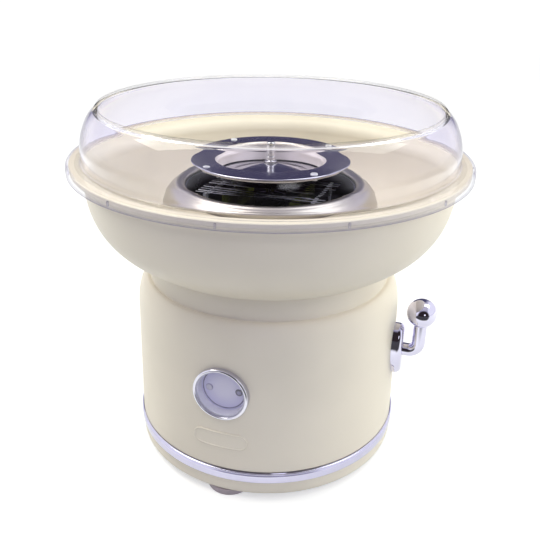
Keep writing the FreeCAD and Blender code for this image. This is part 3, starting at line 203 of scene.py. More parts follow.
floor_finish = Finish("floor white", Roughness=0.9, Emission_Strength=1.0)
ray = floor_finish.tree.nodes.new("ShaderNodeLightPath")
unscattered = Flow(floor_finish, ray.outputs["Diffuse Depth"]).below(0.5)
mirrored = Flow(floor_finish, ray.outputs["Glossy Depth"]).above(0.5)
floor_x, floor_y, _ = floor_finish.parts()
floor_reach = reach_of(floor_x, floor_y) + 0.001
floor_front = -1.0 * (floor_x * to_machine.x + floor_y * to_machine.y)
table_end = floor_front.ramp(0.20, 0.28) * (floor_front / floor_reach).ramp(0.62, 0.76)
dark_share = mirrored * table_end
glow = floor_reach.ramp(0.45, 2.0, 0.52, 0.91) + floor_reach.ramp(2.0, 4.0, 0.0, 0.12)
floor_finish.set(Emission_Color=unscattered * glow * (1.0 - mirrored * 0.3) * (1.0 - dark_share * 0.97),
                 Base_Color=floor_finish.mix(dark_share, (0.62, 0.62, 0.62), (0.02, 0.018, 0.018)))
floor_finish.material.cycles.emission_sampling = "NONE"
floor_mesh = bmesh.new()
bmesh.ops.create_grid(floor_mesh, x_segments=1, y_segments=1, size=12.0)
floor_data = bpy.data.meshes.new("floor")
floor_mesh.to_mesh(floor_data)
floor_mesh.free()
floor_data.materials.append(floor_finish.material)
floor = bpy.data.objects.new("floor", floor_data)
scene.collection.objects.link(floor)

# ---------------------------------------------------------------- Lamps and room
# Soft boxes at both sides, behind and overhead, and a blue fill in front. The room is white to the
# camera and through glass. Metal mirrors panels instead: pale at the sides, dark in front and behind.
# Light that has been scattered finds the room dim, so that mostly the lamps light the machine.

world = bpy.data.worlds.new("room")
world.use_nodes = True
world.cycles.sampling_method = "NONE"
scene.world = world
room = world.node_tree


def room_node(kind, settings=None, inputs=None):
    """A node of the room, with its settings and its values or links."""
    made = room.nodes.new("ShaderNode" + kind)
    for setting, value in (settings or {}).items():
        setattr(made, setting, value)
    for socket, value in (inputs or {}).items():
        if isinstance(value, bpy.types.NodeSocket):
            room.links.new(value, made.inputs[socket])
        else:
            made.inputs[socket].default_value = value
    return made


def room_blend(share, low, high):
    return room_node("Mix", {"data_type": "RGBA"}, {0: share, 6: low, 7: high}).outputs[2]


def room_rise(value, low, high):
    """0 below low, 1 above high."""
    return room_node("MapRange", {"interpolation_type": "SMOOTHSTEP"},
                     {"Value": value, "From Min": low, "From Max": high}).outputs[0]


def room_fall(value, low, high):
    """1 below low, 0 above high."""
    return room_rise(value, high, low)


def room_above(value, edge):
    return room_node("Math", {"operation": "GREATER_THAN"}, {0: value, 1: edge}).outputs[0]


def toward(way):
    """How far a look goes one way, from -1 to 1."""
    return room_node("VectorMath", {"operation": "DOT_PRODUCT"}, {0: look, 1: way}).outputs["Value"]


look = room_node("TexCoord").outputs["Generated"]
sideways = room_node("Math", {"operation": "ABSOLUTE"}, {0: toward(to_right)}).outputs[0]
small_lamp = Vector((0.17, -0.95, 0.2))
small_lamp_way = to_right * small_lamp.x + to_machine * small_lamp.y + Vector((0, 0, small_lamp.z))
small_lamp_way.normalize()
low_wall, high_wall = (0.44, 0.43, 0.54, 1), (0.62, 0.60, 0.66, 1)
side_panel, back_panel, front_panel = (1.0, 1.0, 1.06, 1), (0.10, 0.095, 0.16, 1), (0.03, 0.022, 0.024, 1)
small_lamp_light = (1.6, 1.6, 1.65, 1)
walls = room_blend(room_rise(toward((0, 0, 1)), 0.5, 0.95), low_wall, high_wall)
walls = room_blend(room_rise(sideways, 0.45, 0.62), walls, side_panel)
behind_only = room_node("Math", {"operation": "MULTIPLY"}, {
    0: room_rise(toward(to_machine), 0.35, 0.62), 1: room_fall(sideways, 0.34, 0.5)}).outputs[0]
walls = room_blend(behind_only, walls, back_panel)
walls = room_blend(room_rise(toward(-to_machine), 0.66, 0.80), walls, front_panel)
walls = room_blend(room_rise(toward(small_lamp_way), 0.993, 0.997), walls, small_lamp_light)
room_ray = room_node("LightPath")
mirror_share = room_above(room_ray.outputs["Glossy Depth"], 0.5)
scatter_share = room_above(room_ray.outputs["Diffuse Depth"], 0.5)
seen = room_blend(mirror_share, (1, 1, 1, 1), walls)
dim_room = (0.020, 0.022, 0.030, 1)
room.links.new(room_blend(scatter_share, seen, dim_room), room.nodes["Background"].inputs["Color"])


lamp_distance, aim_height = 1.3, 0.14
lamp_width, lamp_height = 0.5, 0.9


def soft_box(name, azimuth, elevation, power, colour, mirrored_too=False):
    """A flat lamp that faces the machine. Azimuth 0 is the camera's right, 90 is behind."""
    lamp = bpy.data.lights.new(name, "AREA")
    lamp.shape = "RECTANGLE"
    lamp.size = lamp_width
    lamp.size_y = lamp_height
    lamp.energy = power
    lamp.color = colour
    turn = math.radians(azimuth) + camera_turn
    rise = math.radians(elevation)
    way = Vector((math.cos(turn) * math.cos(rise), math.sin(turn) * math.cos(rise), math.sin(rise)))
    spot = Vector((0, 0, aim_height)) + way * lamp_distance
    holder = bpy.data.objects.new(name, lamp)
    holder.matrix_world = Matrix.Translation(spot) @ (-way).to_track_quat("-Z", "Y").to_matrix().to_4x4()
    holder.visible_glossy = mirrored_too
    holder.visible_transmission = False
    scene.collection.objects.link(holder)


soft_box("right box", 5, 15, 6.2, (1.0, 0.98, 0.88))
soft_box("right fill", -30, 25, 3.3, (0.88, 0.94, 1.0))
soft_box("right back box", 35, 25, 4.8, (0.97, 1.0, 0.94))
soft_box("left box", 178, 15, 2.8, (0.96, 0.98, 1.0))
soft_box("left back box", 145, 25, 7.3, (0.98, 1.0, 1.0))
soft_box("right top box", 0, 60, 4.4, (0.95, 1.0, 0.90), True)
soft_box("left top box", 180, 60, 8.0, (1.0, 0.98, 0.82), True)
soft_box("front top box", 270, 55, 4.7, (0.98, 0.98, 0.97))
soft_box("front fill", 270, 25, 2.4, (0.58, 0.60, 1.0))

# ---------------------------------------------------------------- Base pan
# The lower tray of cream ABS, moulded in one piece: it carries the feet, vents the motor and closes
# the body from below, held by three screws.


def moulded_plastic(name, colour, roughness=0.38, fleck=0.03, grain=900.0):
    """Gloss moulded plastic: slow drift in colour, faint orange peel, and fine rub marks."""
    finish = Finish(name, IOR=1.46, Coat_Weight=0.05, Coat_Roughness=0.2)
    drift = finish.noise(9.0, 3.0)
    pale = tuple(min(1.0, value * (1 + fleck)) for value in colour)
    deep = tuple(value * (1 - fleck) for value in colour)
    rub = finish.noise(70.0, 4.0, finish.place(scale=(1.0, 1.0, 0.15)))
    peel = finish.noise(grain, 2.0)
    finish.set(Base_Color=finish.mix(drift.ramp(0.35, 0.65), deep, pale),
               Roughness=rub.ramp(0.3, 0.75, roughness - 0.03, roughness + 0.06),
               Normal=finish.bump(peel, 0.05, 0.00008))
    return finish


CREAM = linear(240, 231, 214)
cream_plastic = moulded_plastic("cream plastic", CREAM)


def smoothed(mesh, degrees=32.0):
    """Round faces shade smoothly and corners stay crisp."""
    for face in mesh.polygons:
        face.use_smooth = True
    mesh.set_sharp_from_angle(angle=math.radians(degrees))


def piece_of(name, bm, finish, body, stands_for=(), degrees=32.0):
    """Make an object of a finished bmesh, hang it on its body, and hide the CAD parts it stands for."""
    data = bpy.data.meshes.new(name)
    bm.to_mesh(data)
    bm.free()
    smoothed(data, degrees)
    data.materials.append(finish.material)
    piece = bpy.data.objects.new(name, data)
    scene.collection.objects.link(piece)
    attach(piece, body)
    if stands_for:
        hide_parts(*stands_for)
    return piece


def dressed(node, finish):
    """Give a CAD node its finish."""
    for place in cad_nodes[node].material_slots:
        place.material = finish.material


dressed("base_pan", cream_plastic)

# ---------------------------------------------------------------- Rubber feet
# Three grey-brown pads of moulded rubber with a rim round the sole. Each has a barbed stem, which is
# pressed through the pan from below.

FOOT_ANGLES = (-90, 30, 150)
foot_circle, foot_radius, foot_height = 86.8, 16.8, 5.0


def rubber(name, colour):
    finish = Finish(name, Specular_IOR_Level=0.35)
    speckle = finish.noise(420.0, 3.0)
    dust = finish.noise(60.0, 4.0)
    dusty = tuple(value * 1.5 + 0.02 for value in colour)
    finish.set(Base_Color=finish.mix(dust.ramp(0.4, 0.8), colour, dusty),
               Roughness=speckle.ramp(0.3, 0.7, 0.62, 0.8), Normal=finish.bump(speckle, 0.35, 0.0002))
    return finish


foot_rubber = rubber("foot rubber", linear(184, 172, 176))


def turned(outline, segments=160, matrix=None):
    """Spin a closed outline of (radius, height) points in mm about Z, as one closed skin."""
    bm = bmesh.new()
    corners = [bm.verts.new((radius * MM, 0.0, height * MM)) for radius, height in outline]
    edges = [bm.edges.new((a, b)) for a, b in zip(corners, corners[1:] + corners[:1])
             if a.co.x > 1e-7 or b.co.x > 1e-7]
    bmesh.ops.spin(bm, geom=corners + edges, axis=(0, 0, 1), cent=(0, 0, 0), angle=2 * math.pi,
                   steps=segments, use_merge=True, use_duplicate=False)
    bmesh.ops.remove_doubles(bm, verts=bm.verts, dist=1e-7)
    bmesh.ops.recalc_face_normals(bm, faces=bm.faces)
    if matrix is not None:
        bmesh.ops.transform(bm, matrix=matrix, verts=bm.verts)
    return bm


def arc(centre_x, centre_y, radius, start, end, steps=8):
    """Points of a circle's arc, in degrees."""
    return [(centre_x + radius * math.cos(math.radians(start + (end - start) * step / steps)),
             centre_y + radius * math.sin(math.radians(start + (end - start) * step / steps)))
            for step in range(steps + 1)]


def add_to(bm, other):
    """Join another bmesh into this one."""
    spare = bpy.data.meshes.new("spare")
    other.to_mesh(spare)
    other.free()
    bm.from_mesh(spare)
    bpy.data.meshes.remove(spare)


feet = bmesh.new()
foot_outline = ([(0, 0.0), (11.6, 0.0), (12.2, 0.6), (13.0, 0.6), (13.6, 0.0)]
                + arc(foot_radius - 1.0, 1.0, 1.0, -90, 0, 4)
                + arc(foot_radius - 0.8, foot_height - 0.8, 0.8, 0, 90, 4)
                + [(4.9, foot_height), (4.9, 7.6), (5.7, 7.8), (5.3, 9.0), (0, 9.0)])
for angle in FOOT_ANGLES:
    spot = Vector((math.cos(math.radians(angle)), math.sin(math.radians(angle)), 0)) * foot_circle * MM
    add_to(feet, turned(foot_outline, 48, Matrix.Translation(spot)))
piece_of("rubber_foot_set", feet, foot_rubber, "housing", ["rubber_feet"])

# ---------------------------------------------------------------- Trim band
# A pressed hoop of chromed steel with a rolled bead along its top, snapped into the rebate between
# the body and the pan.


def chrome(name, colour=(0.86, 0.86, 0.88), roughness=0.06, smear=0.05):
    finish = Finish(name, Metallic=1.0)
    haze = finish.noise(38.0, 4.0, finish.place(scale=(1, 1, 0.4)))
    ripple = finish.noise(90.0, 2.0)
    finish.set(Base_Color=finish.mix(haze.ramp(0.4, 0.75), colour, tuple(value * 0.95 for value in colour)),
               Roughness=haze.ramp(0.45, 0.8, roughness, roughness + smear),
               Normal=finish.bump(ripple, 0.03, 0.0001))
    return finish


trim_chrome = chrome("trim chrome", linear(214, 212, 236))
pan_top, band_top = 17.0, 25.5
shell_foot = 103.6
band_outline = ([(102.7, pan_top), (104.7, pan_top)]
                + arc(104.6, pan_top + 0.4, 0.4, -90, 0, 3)
                + [(105.0, band_top - 2.9)]
                + arc(104.5, band_top - 2.9, 0.5, 0, 60, 3)
                + [(104.42, band_top - 2.1)]
                + arc(104.25, band_top - 1.15, 0.78, -70, 80, 8)
                + [(104.2, band_top), (102.7, band_top)])
piece_of("chrome_trim_band", turned(band_outline, 256), trim_chrome, "housing", ["trim_band"])

# ---------------------------------------------------------------- Body shell
# One cream moulding: a slightly tapered wall, a round shoulder, a short neck and the deck that
# carries motor, heater and bowl. The badge, the lever and the cord gland pass through its wall.


def along(path, steps=14):
    """Points of a path of lines (x, z) and arcs (via_x, via_z, x, z)."""
    points = [path[0][-2:]]
    for step in path[1:]:
        first, last = Vector(points[-1]), Vector(step[-2:])
        if len(step) == 2:
            points.append(tuple(last))
            continue
        middle = Vector(step[:2])
        spans = (middle - first, last - first)
        cross = 2 * (spans[0].x * spans[1].y - spans[0].y * spans[1].x)
        squares = [span.length_squared for span in spans]
        centre = first + Vector(((spans[1].y * squares[0] - spans[0].y * squares[1]) / cross,
                                 (spans[0].x * squares[1] - spans[1].x * squares[0]) / cross))
        sweep = (first - centre).angle_signed(last - centre)
        if (first - centre).angle_signed(middle - centre) * sweep < 0:
            sweep -= math.copysign(2 * math.pi, sweep)
        for share in range(1, steps + 1):
            spoke = (first - centre).copy()
            spoke.rotate(Matrix.Rotation(-sweep * share / steps, 2))
            points.append(tuple(centre + spoke))
    return points


def beside(points, wall):
    """The line of points moved to its left by the wall."""
    moved = []
    for index, point in enumerate(points):
        here = Vector(point)
        ways = []
        if index:
            ways.append((here - Vector(points[index - 1])).normalized())
        if index + 1 < len(points):
            ways.append((Vector(points[index + 1]) - here).normalized())
        left = sum((Vector((-way.y, way.x)) for way in ways), Vector((0, 0))).normalized()
        half = Vector((-ways[0].y, ways[0].x)).dot(left)
        moved.append(tuple(here + left * (wall / half)))
    return moved


shoulder_start, shoulder_top, deck_top = 118.0, 142.5, 159.5
shell_top, neck = 101.6, 91.5
shoulder_centre = 92.6
shell_wall = 2.5


def shoulder(inset, steps=18):
    """The round shoulder from the wall to the neck, moved in by the inset."""
    wide, tall = shell_top - shoulder_centre - inset, shoulder_top - shoulder_start - inset
    turns = [math.radians(90 * step / steps) for step in range(1, steps + 1)]
    return [(shoulder_centre + wide * math.cos(turn), shoulder_start + tall * math.sin(turn))
            for turn in turns]


wall_rings = 24
wall_foot = band_top + 0.1
wall_line = [(shell_foot + (shell_top - shell_foot) * ring / wall_rings,
              wall_foot + (shoulder_start - band_top - 0.1) * ring / wall_rings)
             for ring in range(wall_rings + 1)]
inner_line = [(radius - shell_wall, height) for radius, height in wall_line]
shell_outline = ([(102.6, pan_top), (102.6, band_top - 0.2), (102.9, wall_foot)]
                 + [(shell_foot - 0.4, wall_foot), (wall_line[0][0], wall_line[0][1] + 0.4)] + wall_line[1:]
                 + shoulder(0.0) + [(neck + 0.35, shoulder_top + 0.05), (neck, shoulder_top + 0.5),
                                    (neck, deck_top - 0.6), (neck - 0.6, deck_top)]
                 + [(84.2, deck_top), (84.2, deck_top + 1.7), (83.9, deck_top + 2.0), (83.1, deck_top + 2.0),
                    (82.8, deck_top + 1.7), (82.8, deck_top), (22.4, deck_top), (22.0, deck_top - 0.4),
                    (22.0, deck_top - 3.0), (89.0, deck_top - 3.0), (89.0, shoulder_top - shell_wall)]
                 + shoulder(shell_wall)[::-1] + inner_line[::-1] + [(101.1, pan_top)])
shell = turned(shell_outline, 240)


def rod(radius, length, matrix, segments=48):
    """A round bar from the matrix's origin along its Z, in mm."""
    bm = bmesh.new()
    bmesh.ops.create_cone(bm, cap_ends=True, segments=segments, radius1=radius * MM, radius2=radius * MM,
                          depth=length * MM, matrix=Matrix.Translation((0, 0, length * MM / 2)))
    bmesh.ops.transform(bm, matrix=matrix, verts=bm.verts)
    return bm


TO_FRONT = Matrix.Rotation(math.radians(90), 4, "X")
TO_BACK = Matrix.Rotation(math.radians(-90), 4, "X")
TO_LEVER = Matrix.Rotation(math.radians(90), 4, "Y")
badge_level, lever_level, gland_level = 89.0, 89.0, 50.0


def at(x, y, z):
    return Matrix.Translation((x * MM, y * MM, z * MM))


web_size = (7.8 * MM, 2.4 * MM, 15.4 * MM, 1)
for angle in (-30, 90, 210):
    spin = Matrix.Rotation(math.radians(angle), 4, "Z")
    add_to(shell, rod(4.2, 29.0, spin @ at(92.5, 0, 11), 32))
    web = bmesh.new()
    bmesh.ops.create_cube(web, size=1.0, matrix=spin @ at(97.7, 0, 32.3) @ Matrix.Diagonal(web_size))
    add_to(shell, web)


def cut_from(piece, cutters):
    """Take the cutters' shapes out of a piece and keep the result as its mesh."""
    spare = []
    for number, cutter in enumerate(cutters):
        data = bpy.data.meshes.new("cutter")
        cutter.to_mesh(data)
        cutter.free()
        tool = bpy.data.objects.new("cutter", data)
        scene.collection.objects.link(tool)
        step = piece.modifiers.new(f"cut {number}", "BOOLEAN")
        step.operation = "DIFFERENCE"
        step.solver = "EXACT"
        step.object = tool
        spare.append(tool)
    ready = piece.evaluated_get(bpy.context.evaluated_depsgraph_get())
    data = bpy.data.meshes.new_from_object(ready)
    piece.modifiers.clear()
    piece.data = data
    for tool in spare:
        bpy.data.objects.remove(tool)
    smoothed(data)


body = piece_of("cream_body_shell", shell, cream_plastic, "housing", ["body_shell"])
cut_from(body, [
    rod(18.4, 25.0, at(0, -91.5, badge_level) @ TO_FRONT, 96),
    rod(5.3, 25.0, at(91.5, 0, lever_level) @ TO_LEVER, 48),
    rod(6.05, 25.0, at(0, 91.5, gland_level) @ TO_BACK, 48),
])

# ---------------------------------------------------------------- Cord gland
# A black rubber bush, pressed into a hole at the back of the body. It holds the mains lead where the
# lead enters.

gland_rubber = rubber("gland rubber", linear(46, 44, 46))
dressed("cord_gland", gland_rubber)

# ---------------------------------------------------------------- Motor
# A small permanent-magnet motor in a zinc-plated can. It hangs from the deck on rubber dampers, with
# a white fan on its shaft, and its windings and brushes inside.


def plain_metal(name, colour, roughness=0.35, stretch=(1, 1, 12), scale=260.0, wear=0.12):
    """Plated or ground metal: fine lines one way, and slow stains."""
    finish = Finish(name, Metallic=1.0)
    lines = finish.noise(scale, 3.0, finish.place(scale=stretch))
    stain = finish.noise(24.0, 4.0)
    stained = tuple(value * (1 - wear) for value in colour)
    finish.set(Base_Color=finish.mix(stain.ramp(0.45, 0.8), colour, stained),
               Roughness=lines.ramp(0.3, 0.7, roughness - 0.06, roughness + 0.08),
               Normal=finish.bump(lines, 0.12, 0.0001))
    return finish


def matt(name, colour, roughness=0.6, scale=300.0, strength=0.2):
    """Matt plastic, ceramic or card: a fine grain and a slow drift in tone."""
    finish = Finish(name)
    grain = finish.noise(scale, 3.0)
    drift = finish.noise(30.0, 3.0)
    finish.set(Base_Color=finish.mix(drift.ramp(0.35, 0.7), colour, tuple(value * 0.86 for value in colour)),
               Roughness=grain.ramp(0.3, 0.7, roughness - 0.06, roughness + 0.08),
               Normal=finish.bump(grain, strength, 0.00015))
    return finish


motor_zinc = plain_metal("motor zinc", linear(176, 178, 182))
fastener_zinc = plain_metal("fastener zinc", linear(196, 196, 198), 0.28)
ground_steel = plain_metal("ground steel", linear(206, 206, 208), 0.18, (1, 1, 30))
core_steel = Finish("stacked core steel", Metallic=1.0)
core_height = core_steel.parts()[2]
core_lines = (core_height * (2 * math.pi / 0.0005)).sine()
core_steel.set(Base_Color=core_steel.mix(core_steel.noise(80.0, 3.0).ramp(0.4, 0.7), linear(120, 116, 112),
                                         linear(92, 82, 74)),
               Roughness=0.42, Normal=core_steel.bump(core_lines, 0.4, 0.0001))
copper_wire = Finish("enamelled copper wire", Metallic=0.9, Coat_Weight=0.4)
turns = (copper_wire.parts()[2] * (2 * math.pi / 0.0006)).sine()
copper_wire.set(Base_Color=copper_wire.mix(copper_wire.noise(120.0, 2.0), linear(186, 104, 62),
                                           linear(140, 66, 38)),
                Roughness=0.32, Normal=copper_wire.bump(turns, 0.6, 0.00025))
bearing_bronze = plain_metal("sintered bronze", linear(176, 138, 84), 0.42, (1, 1, 1), 900.0)
ferrite = matt("black ferrite", linear(52, 50, 52), 0.55, 700.0, 0.4)
black_plastic = matt("black plastic", linear(38, 37, 39), 0.5)
white_plastic = matt("white plastic", linear(228, 226, 220), 0.42)
for node, finish in (
        ("motor_can", motor_zinc), ("motor_plate", fastener_zinc), ("motor_screws", fastener_zinc),
        ("motor_end_cap", black_plastic), ("motor_shaft", ground_steel), ("drive_pin", ground_steel),
        ("armature_core", core_steel), ("armature_windings", copper_wire), ("commutator", bearing_bronze),
        ("field_magnets", ferrite), ("brushes", ferrite), ("brush_holders", bearing_bronze),
        ("upper_bush", bearing_bronze), ("lower_bush", bearing_bronze), ("rubber_dampers", gland_rubber),
        ("cooling_fan", white_plastic), ("base_screws", fastener_zinc)):
    dressed(node, finish)

# ---------------------------------------------------------------- Wiring parts in the body
# A white terminal block, a green rectifier board, a metal thermal cut-out, and the black switch that
# the lever's cam presses. Each is fixed inside the body, near the piece that it serves.

board_green = matt("board green", linear(40, 104, 58), 0.35, 240.0, 0.1)
for node, finish in (
        ("terminal_block", white_plastic), ("terminal_screws", bearing_bronze),
        ("rectifier_board", board_green), ("switch_body", black_plastic), ("switch_plunger", white_plastic),
        ("switch_bracket", fastener_zinc), ("thermal_cutout", motor_zinc)):
    dressed(node, finish)

# ---------------------------------------------------------------- Heater
# A steel pot on ceramic spacers. Its inside is painted near black below a wavy line, as shade in its depth.
# It holds two rods and olive mica strips, which carry the bare resistance wires.

pot_steel = Finish("pot steel with painted shade", Metallic=1.0)
pot_height = pot_steel.parts()[2]
pot_blotches = pot_steel.noise(38.0, 5.0)
# Painted shade: near black below a wavy line about 200 mm up, pale lavender above.
painted_shade_line = (pot_height + pot_blotches * 0.012).ramp(0.199, 0.212)
pot_steel.set(Base_Color=pot_steel.mix(painted_shade_line, linear(28, 26, 31), linear(150, 146, 172)),
              Roughness=pot_blotches.ramp(0.3, 0.7, 0.26, 0.45),
              Normal=pot_steel.bump(pot_steel.noise(300.0, 3.0), 0.12, 0.0001))
ceramic = matt("white ceramic", linear(226, 222, 208), 0.7, 500.0, 0.3)
mica = Finish("olive mica", Specular_IOR_Level=0.6)
flakes = mica.node("TexVoronoi", {"feature": "F1"}, {"Vector": mica.place(scale=(1, 1, 2.2)), "Scale": 210.0})
scorch = mica.noise(60.0, 4.0)
mica.set(Base_Color=mica.mix(scorch.ramp(0.35, 0.7), linear(98, 104, 46), linear(52, 48, 24)),
         Roughness=flakes.ramp(0.1, 0.6, 0.25, 0.6), Normal=mica.bump(flakes, 0.3, 0.0003))
for node, finish in (
        ("heater_pot", pot_steel), ("heat_shield", motor_zinc), ("standoffs", fastener_zinc),
        ("ceramic_spacers", ceramic), ("heater_terminals", ceramic), ("pot_screws", fastener_zinc),
        ("mica_strips", mica), ("collar_screws", fastener_zinc)):
    dressed(node, finish)

rod_metal = plain_metal("heater rod", linear(240, 240, 244), 0.35, (12, 1, 1))
rod_metal.set(Metallic=0.3)
wire_metal = Finish("heater wire", Metallic=0.5)
# Painted shade: the wires darken toward +x, on top of random dark patches.
wire_x = wire_metal.parts()[0]
wire_patches = wire_metal.noise(260.0, 2.0, wire_metal.place(scale=(0.06, 1, 1)))
dark_patches_and_side_shade = wire_patches + (wire_x + 0.03).ramp(0.0, 0.025) * 0.2
wire_metal.set(Base_Color=wire_metal.mix(dark_patches_and_side_shade.ramp(0.5, 0.68), linear(232, 232, 238), linear(34, 32, 38)),
               Roughness=dark_patches_and_side_shade.ramp(0.4, 0.7, 0.3, 0.6))
dressed("heater_rods", rod_metal)
dressed("heater_wires", wire_metal)

# ---------------------------------------------------------------- Heater collar
# A polished aluminium cowl, spun in one piece. It stands on the deck, held by screws, and its rolled
# rim faces the head.


def spun_aluminium(name, colour, roughness=0.12, grooves=0.0004, depth=0.06):
    """Metal polished on a lathe: rings about the machine's axis."""
    finish = Finish(name, Metallic=1.0)
    x, y, z = finish.parts()
    radius = reach_of(x, y)
    wobble = finish.noise(16.0, 2.0) * 0.0006
    reach = radius + z * 0.6 + wobble
    ring_place = finish.node("CombineXYZ", {}, {0: reach * 1000.0})
    rings = finish.noise(2.2, 4.0, ring_place, 0.7)
    haze = finish.noise(26.0, 4.0)
    finish.set(Base_Color=finish.mix(haze.ramp(0.4, 0.75), colour, tuple(value * 0.9 for value in colour)),
               Roughness=rings.ramp(0.3, 0.7, roughness, roughness + 0.1),
               Normal=finish.bump(rings, depth, grooves))
    return finish


collar_metal = spun_aluminium("polished collar", linear(204, 199, 192), 0.30)
collar_foot, collar_top = 159.5, 214.5
collar_path = [
    (75.0, collar_foot), (81.2, collar_foot), (81.8, collar_foot + 0.25, 82.0, collar_foot + 0.9),
    (81.4, collar_foot + 24.0), (80.6, collar_foot + 34.5, 78.2, collar_top - 12.5),
    (75.2, collar_top - 6.3, 70.6, collar_top - 2.4), (67.2, collar_top - 0.2, 64.2, collar_top - 1.2),
    (63.3, collar_top - 2.0, 63.0, collar_top - 3.4),
]


def shell_of(path, wall, steps=14):
    """The closed outline of a sheet that follows a path."""
    outer = along(path, steps)
    return outer + beside(outer, wall)[::-1]


piece_of("polished_heater_collar", turned(shell_of(collar_path, 0.8, 10), 224), collar_metal, "housing",
         ["heater_collar"], 40.0)

# ---------------------------------------------------------------- Spinning head
# Two spun aluminium plates riveted at the rim. Sugar goes into the well round the centre post,
# melts, and leaves as threads through the narrow slot between the plates.

head_metal = spun_aluminium("polished head", linear(206, 205, 214), 0.1, 0.0005, 0.1)
head_own_colour = Flow(head_metal, head_metal.shader.inputs["Base Color"].links[0].from_socket)
head_x, head_y, _ = head_metal.parts()
well_edge = 0.0404
in_well = reach_of(head_x, head_y).below(well_edge)
# Painted reflection: inside the well the metal is made mostly non-metallic and near white, standing in for
# the bright light the real wall mirrors.
head_metal.set(Metallic=1.0 - in_well * 0.75,
               Base_Color=head_metal.mix(in_well, head_own_colour, linear(250, 240, 236)))
head_level, head_rim = 230.7, 58.0
top_path = [
    (head_rim - 0.1, head_level - 1.2), (head_rim, head_level - 1.1), (head_rim, head_level - 1.0),
    (head_rim - 0.29, head_level - 0.29, head_rim - 1.0, head_level), (41.6, head_level),
    (39.2, head_level - 0.9, 38.3, head_level - 3.2), (38.0, head_level - 9.6),
]
head_sheet = 0.8
piece_of("head_upper_sheet", turned(shell_of(top_path, head_sheet, 8), 224), head_metal, "spinning_head",
         ["head_top_plate"], 40.0)
lower_path = [(55.6, 227.7), (50.0, 227.7), (49.2, 227.5), (40.8, 219.6), (39.8, 218.9), (30.0, 218.9),
              (28.4, 219.2), (8.5, 225.3), (5.0, 226.3)]
lower_outline = lower_path + [(radius, height + head_sheet) for radius, height in lower_path[::-1]]
well_metal = spun_aluminium("polished well floor", linear(206, 205, 214), 0.12, 0.0005, 0.1)
piece_of("head_lower_sheet", turned(lower_outline, 192), well_metal, "spinning_head",
         ["head_lower_pan"], 40.0)
post_outline = ([(0, 227.9)] + arc(3.9, 228.4, 0.5, -90, 0, 3) + arc(3.7, 229.2, 0.7, 0, 80, 4)
                + [(3.3, 230.2), (3.2, 230.7), (3.2, 233.1), (2.9, 233.5), (3.2, 233.9)]
                + arc(1.6, 239.2, 1.6, 0, 90, 6) + [(0, 240.8)])
piece_of("head_centre_post", turned(post_outline, 48), ground_steel, "spinning_head",
         ["head_post"])
dressed("head_hub", fastener_zinc)
rivet_metal = plain_metal("rivet metal", linear(236, 236, 240), 0.5, (1, 1, 1))
rivet_metal.set(Metallic=0.35)
rivet_angles, rivet_circle = (-38.5, 51.5, 141.5, 231.5), 53
rivet_outline = [(0, 227.0), (2.3, 227.0), (2.3, 227.7), (1.47, 227.7), (1.47, 228.5), (2.3, 228.5),
                 (2.3, 229.9), (1.47, 229.9), (1.47, 230.7), (2.5, 230.7), (2.5, 231.0), (2.2, 231.35),
                 (1.2, 231.55), (0, 231.6)]
rivets = bmesh.new()
for angle in rivet_angles:
    spot = Matrix.Rotation(math.radians(angle), 4, "Z") @ at(rivet_circle, 0, 0)
    add_to(rivets, turned(rivet_outline, 28, spot))
piece_of("head_rivet_set", rivets, rivet_metal, "spinning_head", ["head_rivets"])

# ---------------------------------------------------------------- Floss bowl
# The wide cream bowl that catches the floss, moulded in one piece with a turned rim. It rests on the
# neck of the body, and lifts off for washing.

bowl_foot, bowl_top, bowl_edge = 159.5, 231.0, 142.4
bowl_foot_radius, bowl_hole, bowl_side = 93.5, 84.6, 134.0


def bowl_point(across, up):
    """A point of the bowl's wall, as shares of its width and height."""
    return (bowl_foot_radius + (bowl_side - bowl_foot_radius) * across,
            bowl_foot + (bowl_top - bowl_foot) * up)


bowl_path = [
    (bowl_hole, bowl_foot), (bowl_foot_radius - 0.8, bowl_foot),
    (bowl_foot_radius + 0.2, bowl_foot + 0.1, bowl_foot_radius + 1.0, bowl_foot + 0.5),
    bowl_point(0.264, 0.0825) + bowl_point(0.496, 0.176),
    bowl_point(0.765, 0.3455) + bowl_point(0.916, 0.5245),
    bowl_point(0.975, 0.663) + (bowl_side, bowl_top - 14.0),
    (bowl_side + 0.9, bowl_top - 8.3, bowl_side + 4.2, bowl_top - 4.8),
    (bowl_edge - 0.6, bowl_top - 3.3), (bowl_edge - 0.1, bowl_top - 3.1, bowl_edge, bowl_top - 2.6),
]
bowl_wall = 2.5
bowl_outer = along(bowl_path, 12)
bowl_inner = beside(along(bowl_path[:-2], 12), bowl_wall)
bowl_rim = [(bowl_edge, bowl_top - 0.5), (bowl_edge - 0.5, bowl_top), (bowl_side + 4.6, bowl_top)]
bowl_outline = bowl_outer + bowl_rim + bowl_inner[::-1][1:-1] + [(bowl_hole, bowl_foot + bowl_wall)]
piece_of("cream_floss_bowl", turned(bowl_outline, 256), cream_plastic, "bowl",
         ["floss_bowl"], 40.0)

# ---------------------------------------------------------------- Splash guard
# A clear ring that stands on the bowl's rim and keeps the threads in: thin polished plastic with a
# turned-down lip and a rolled bead round its mouth.

clear_plastic = Finish("clear plastic", IOR=1.49, Transmission_Weight=1.0)
cloud = clear_plastic.noise(60.0, 3.0)
clear_tint = clear_plastic.mix(cloud.ramp(0.3, 0.7), linear(239, 237, 249), linear(242, 240, 251))
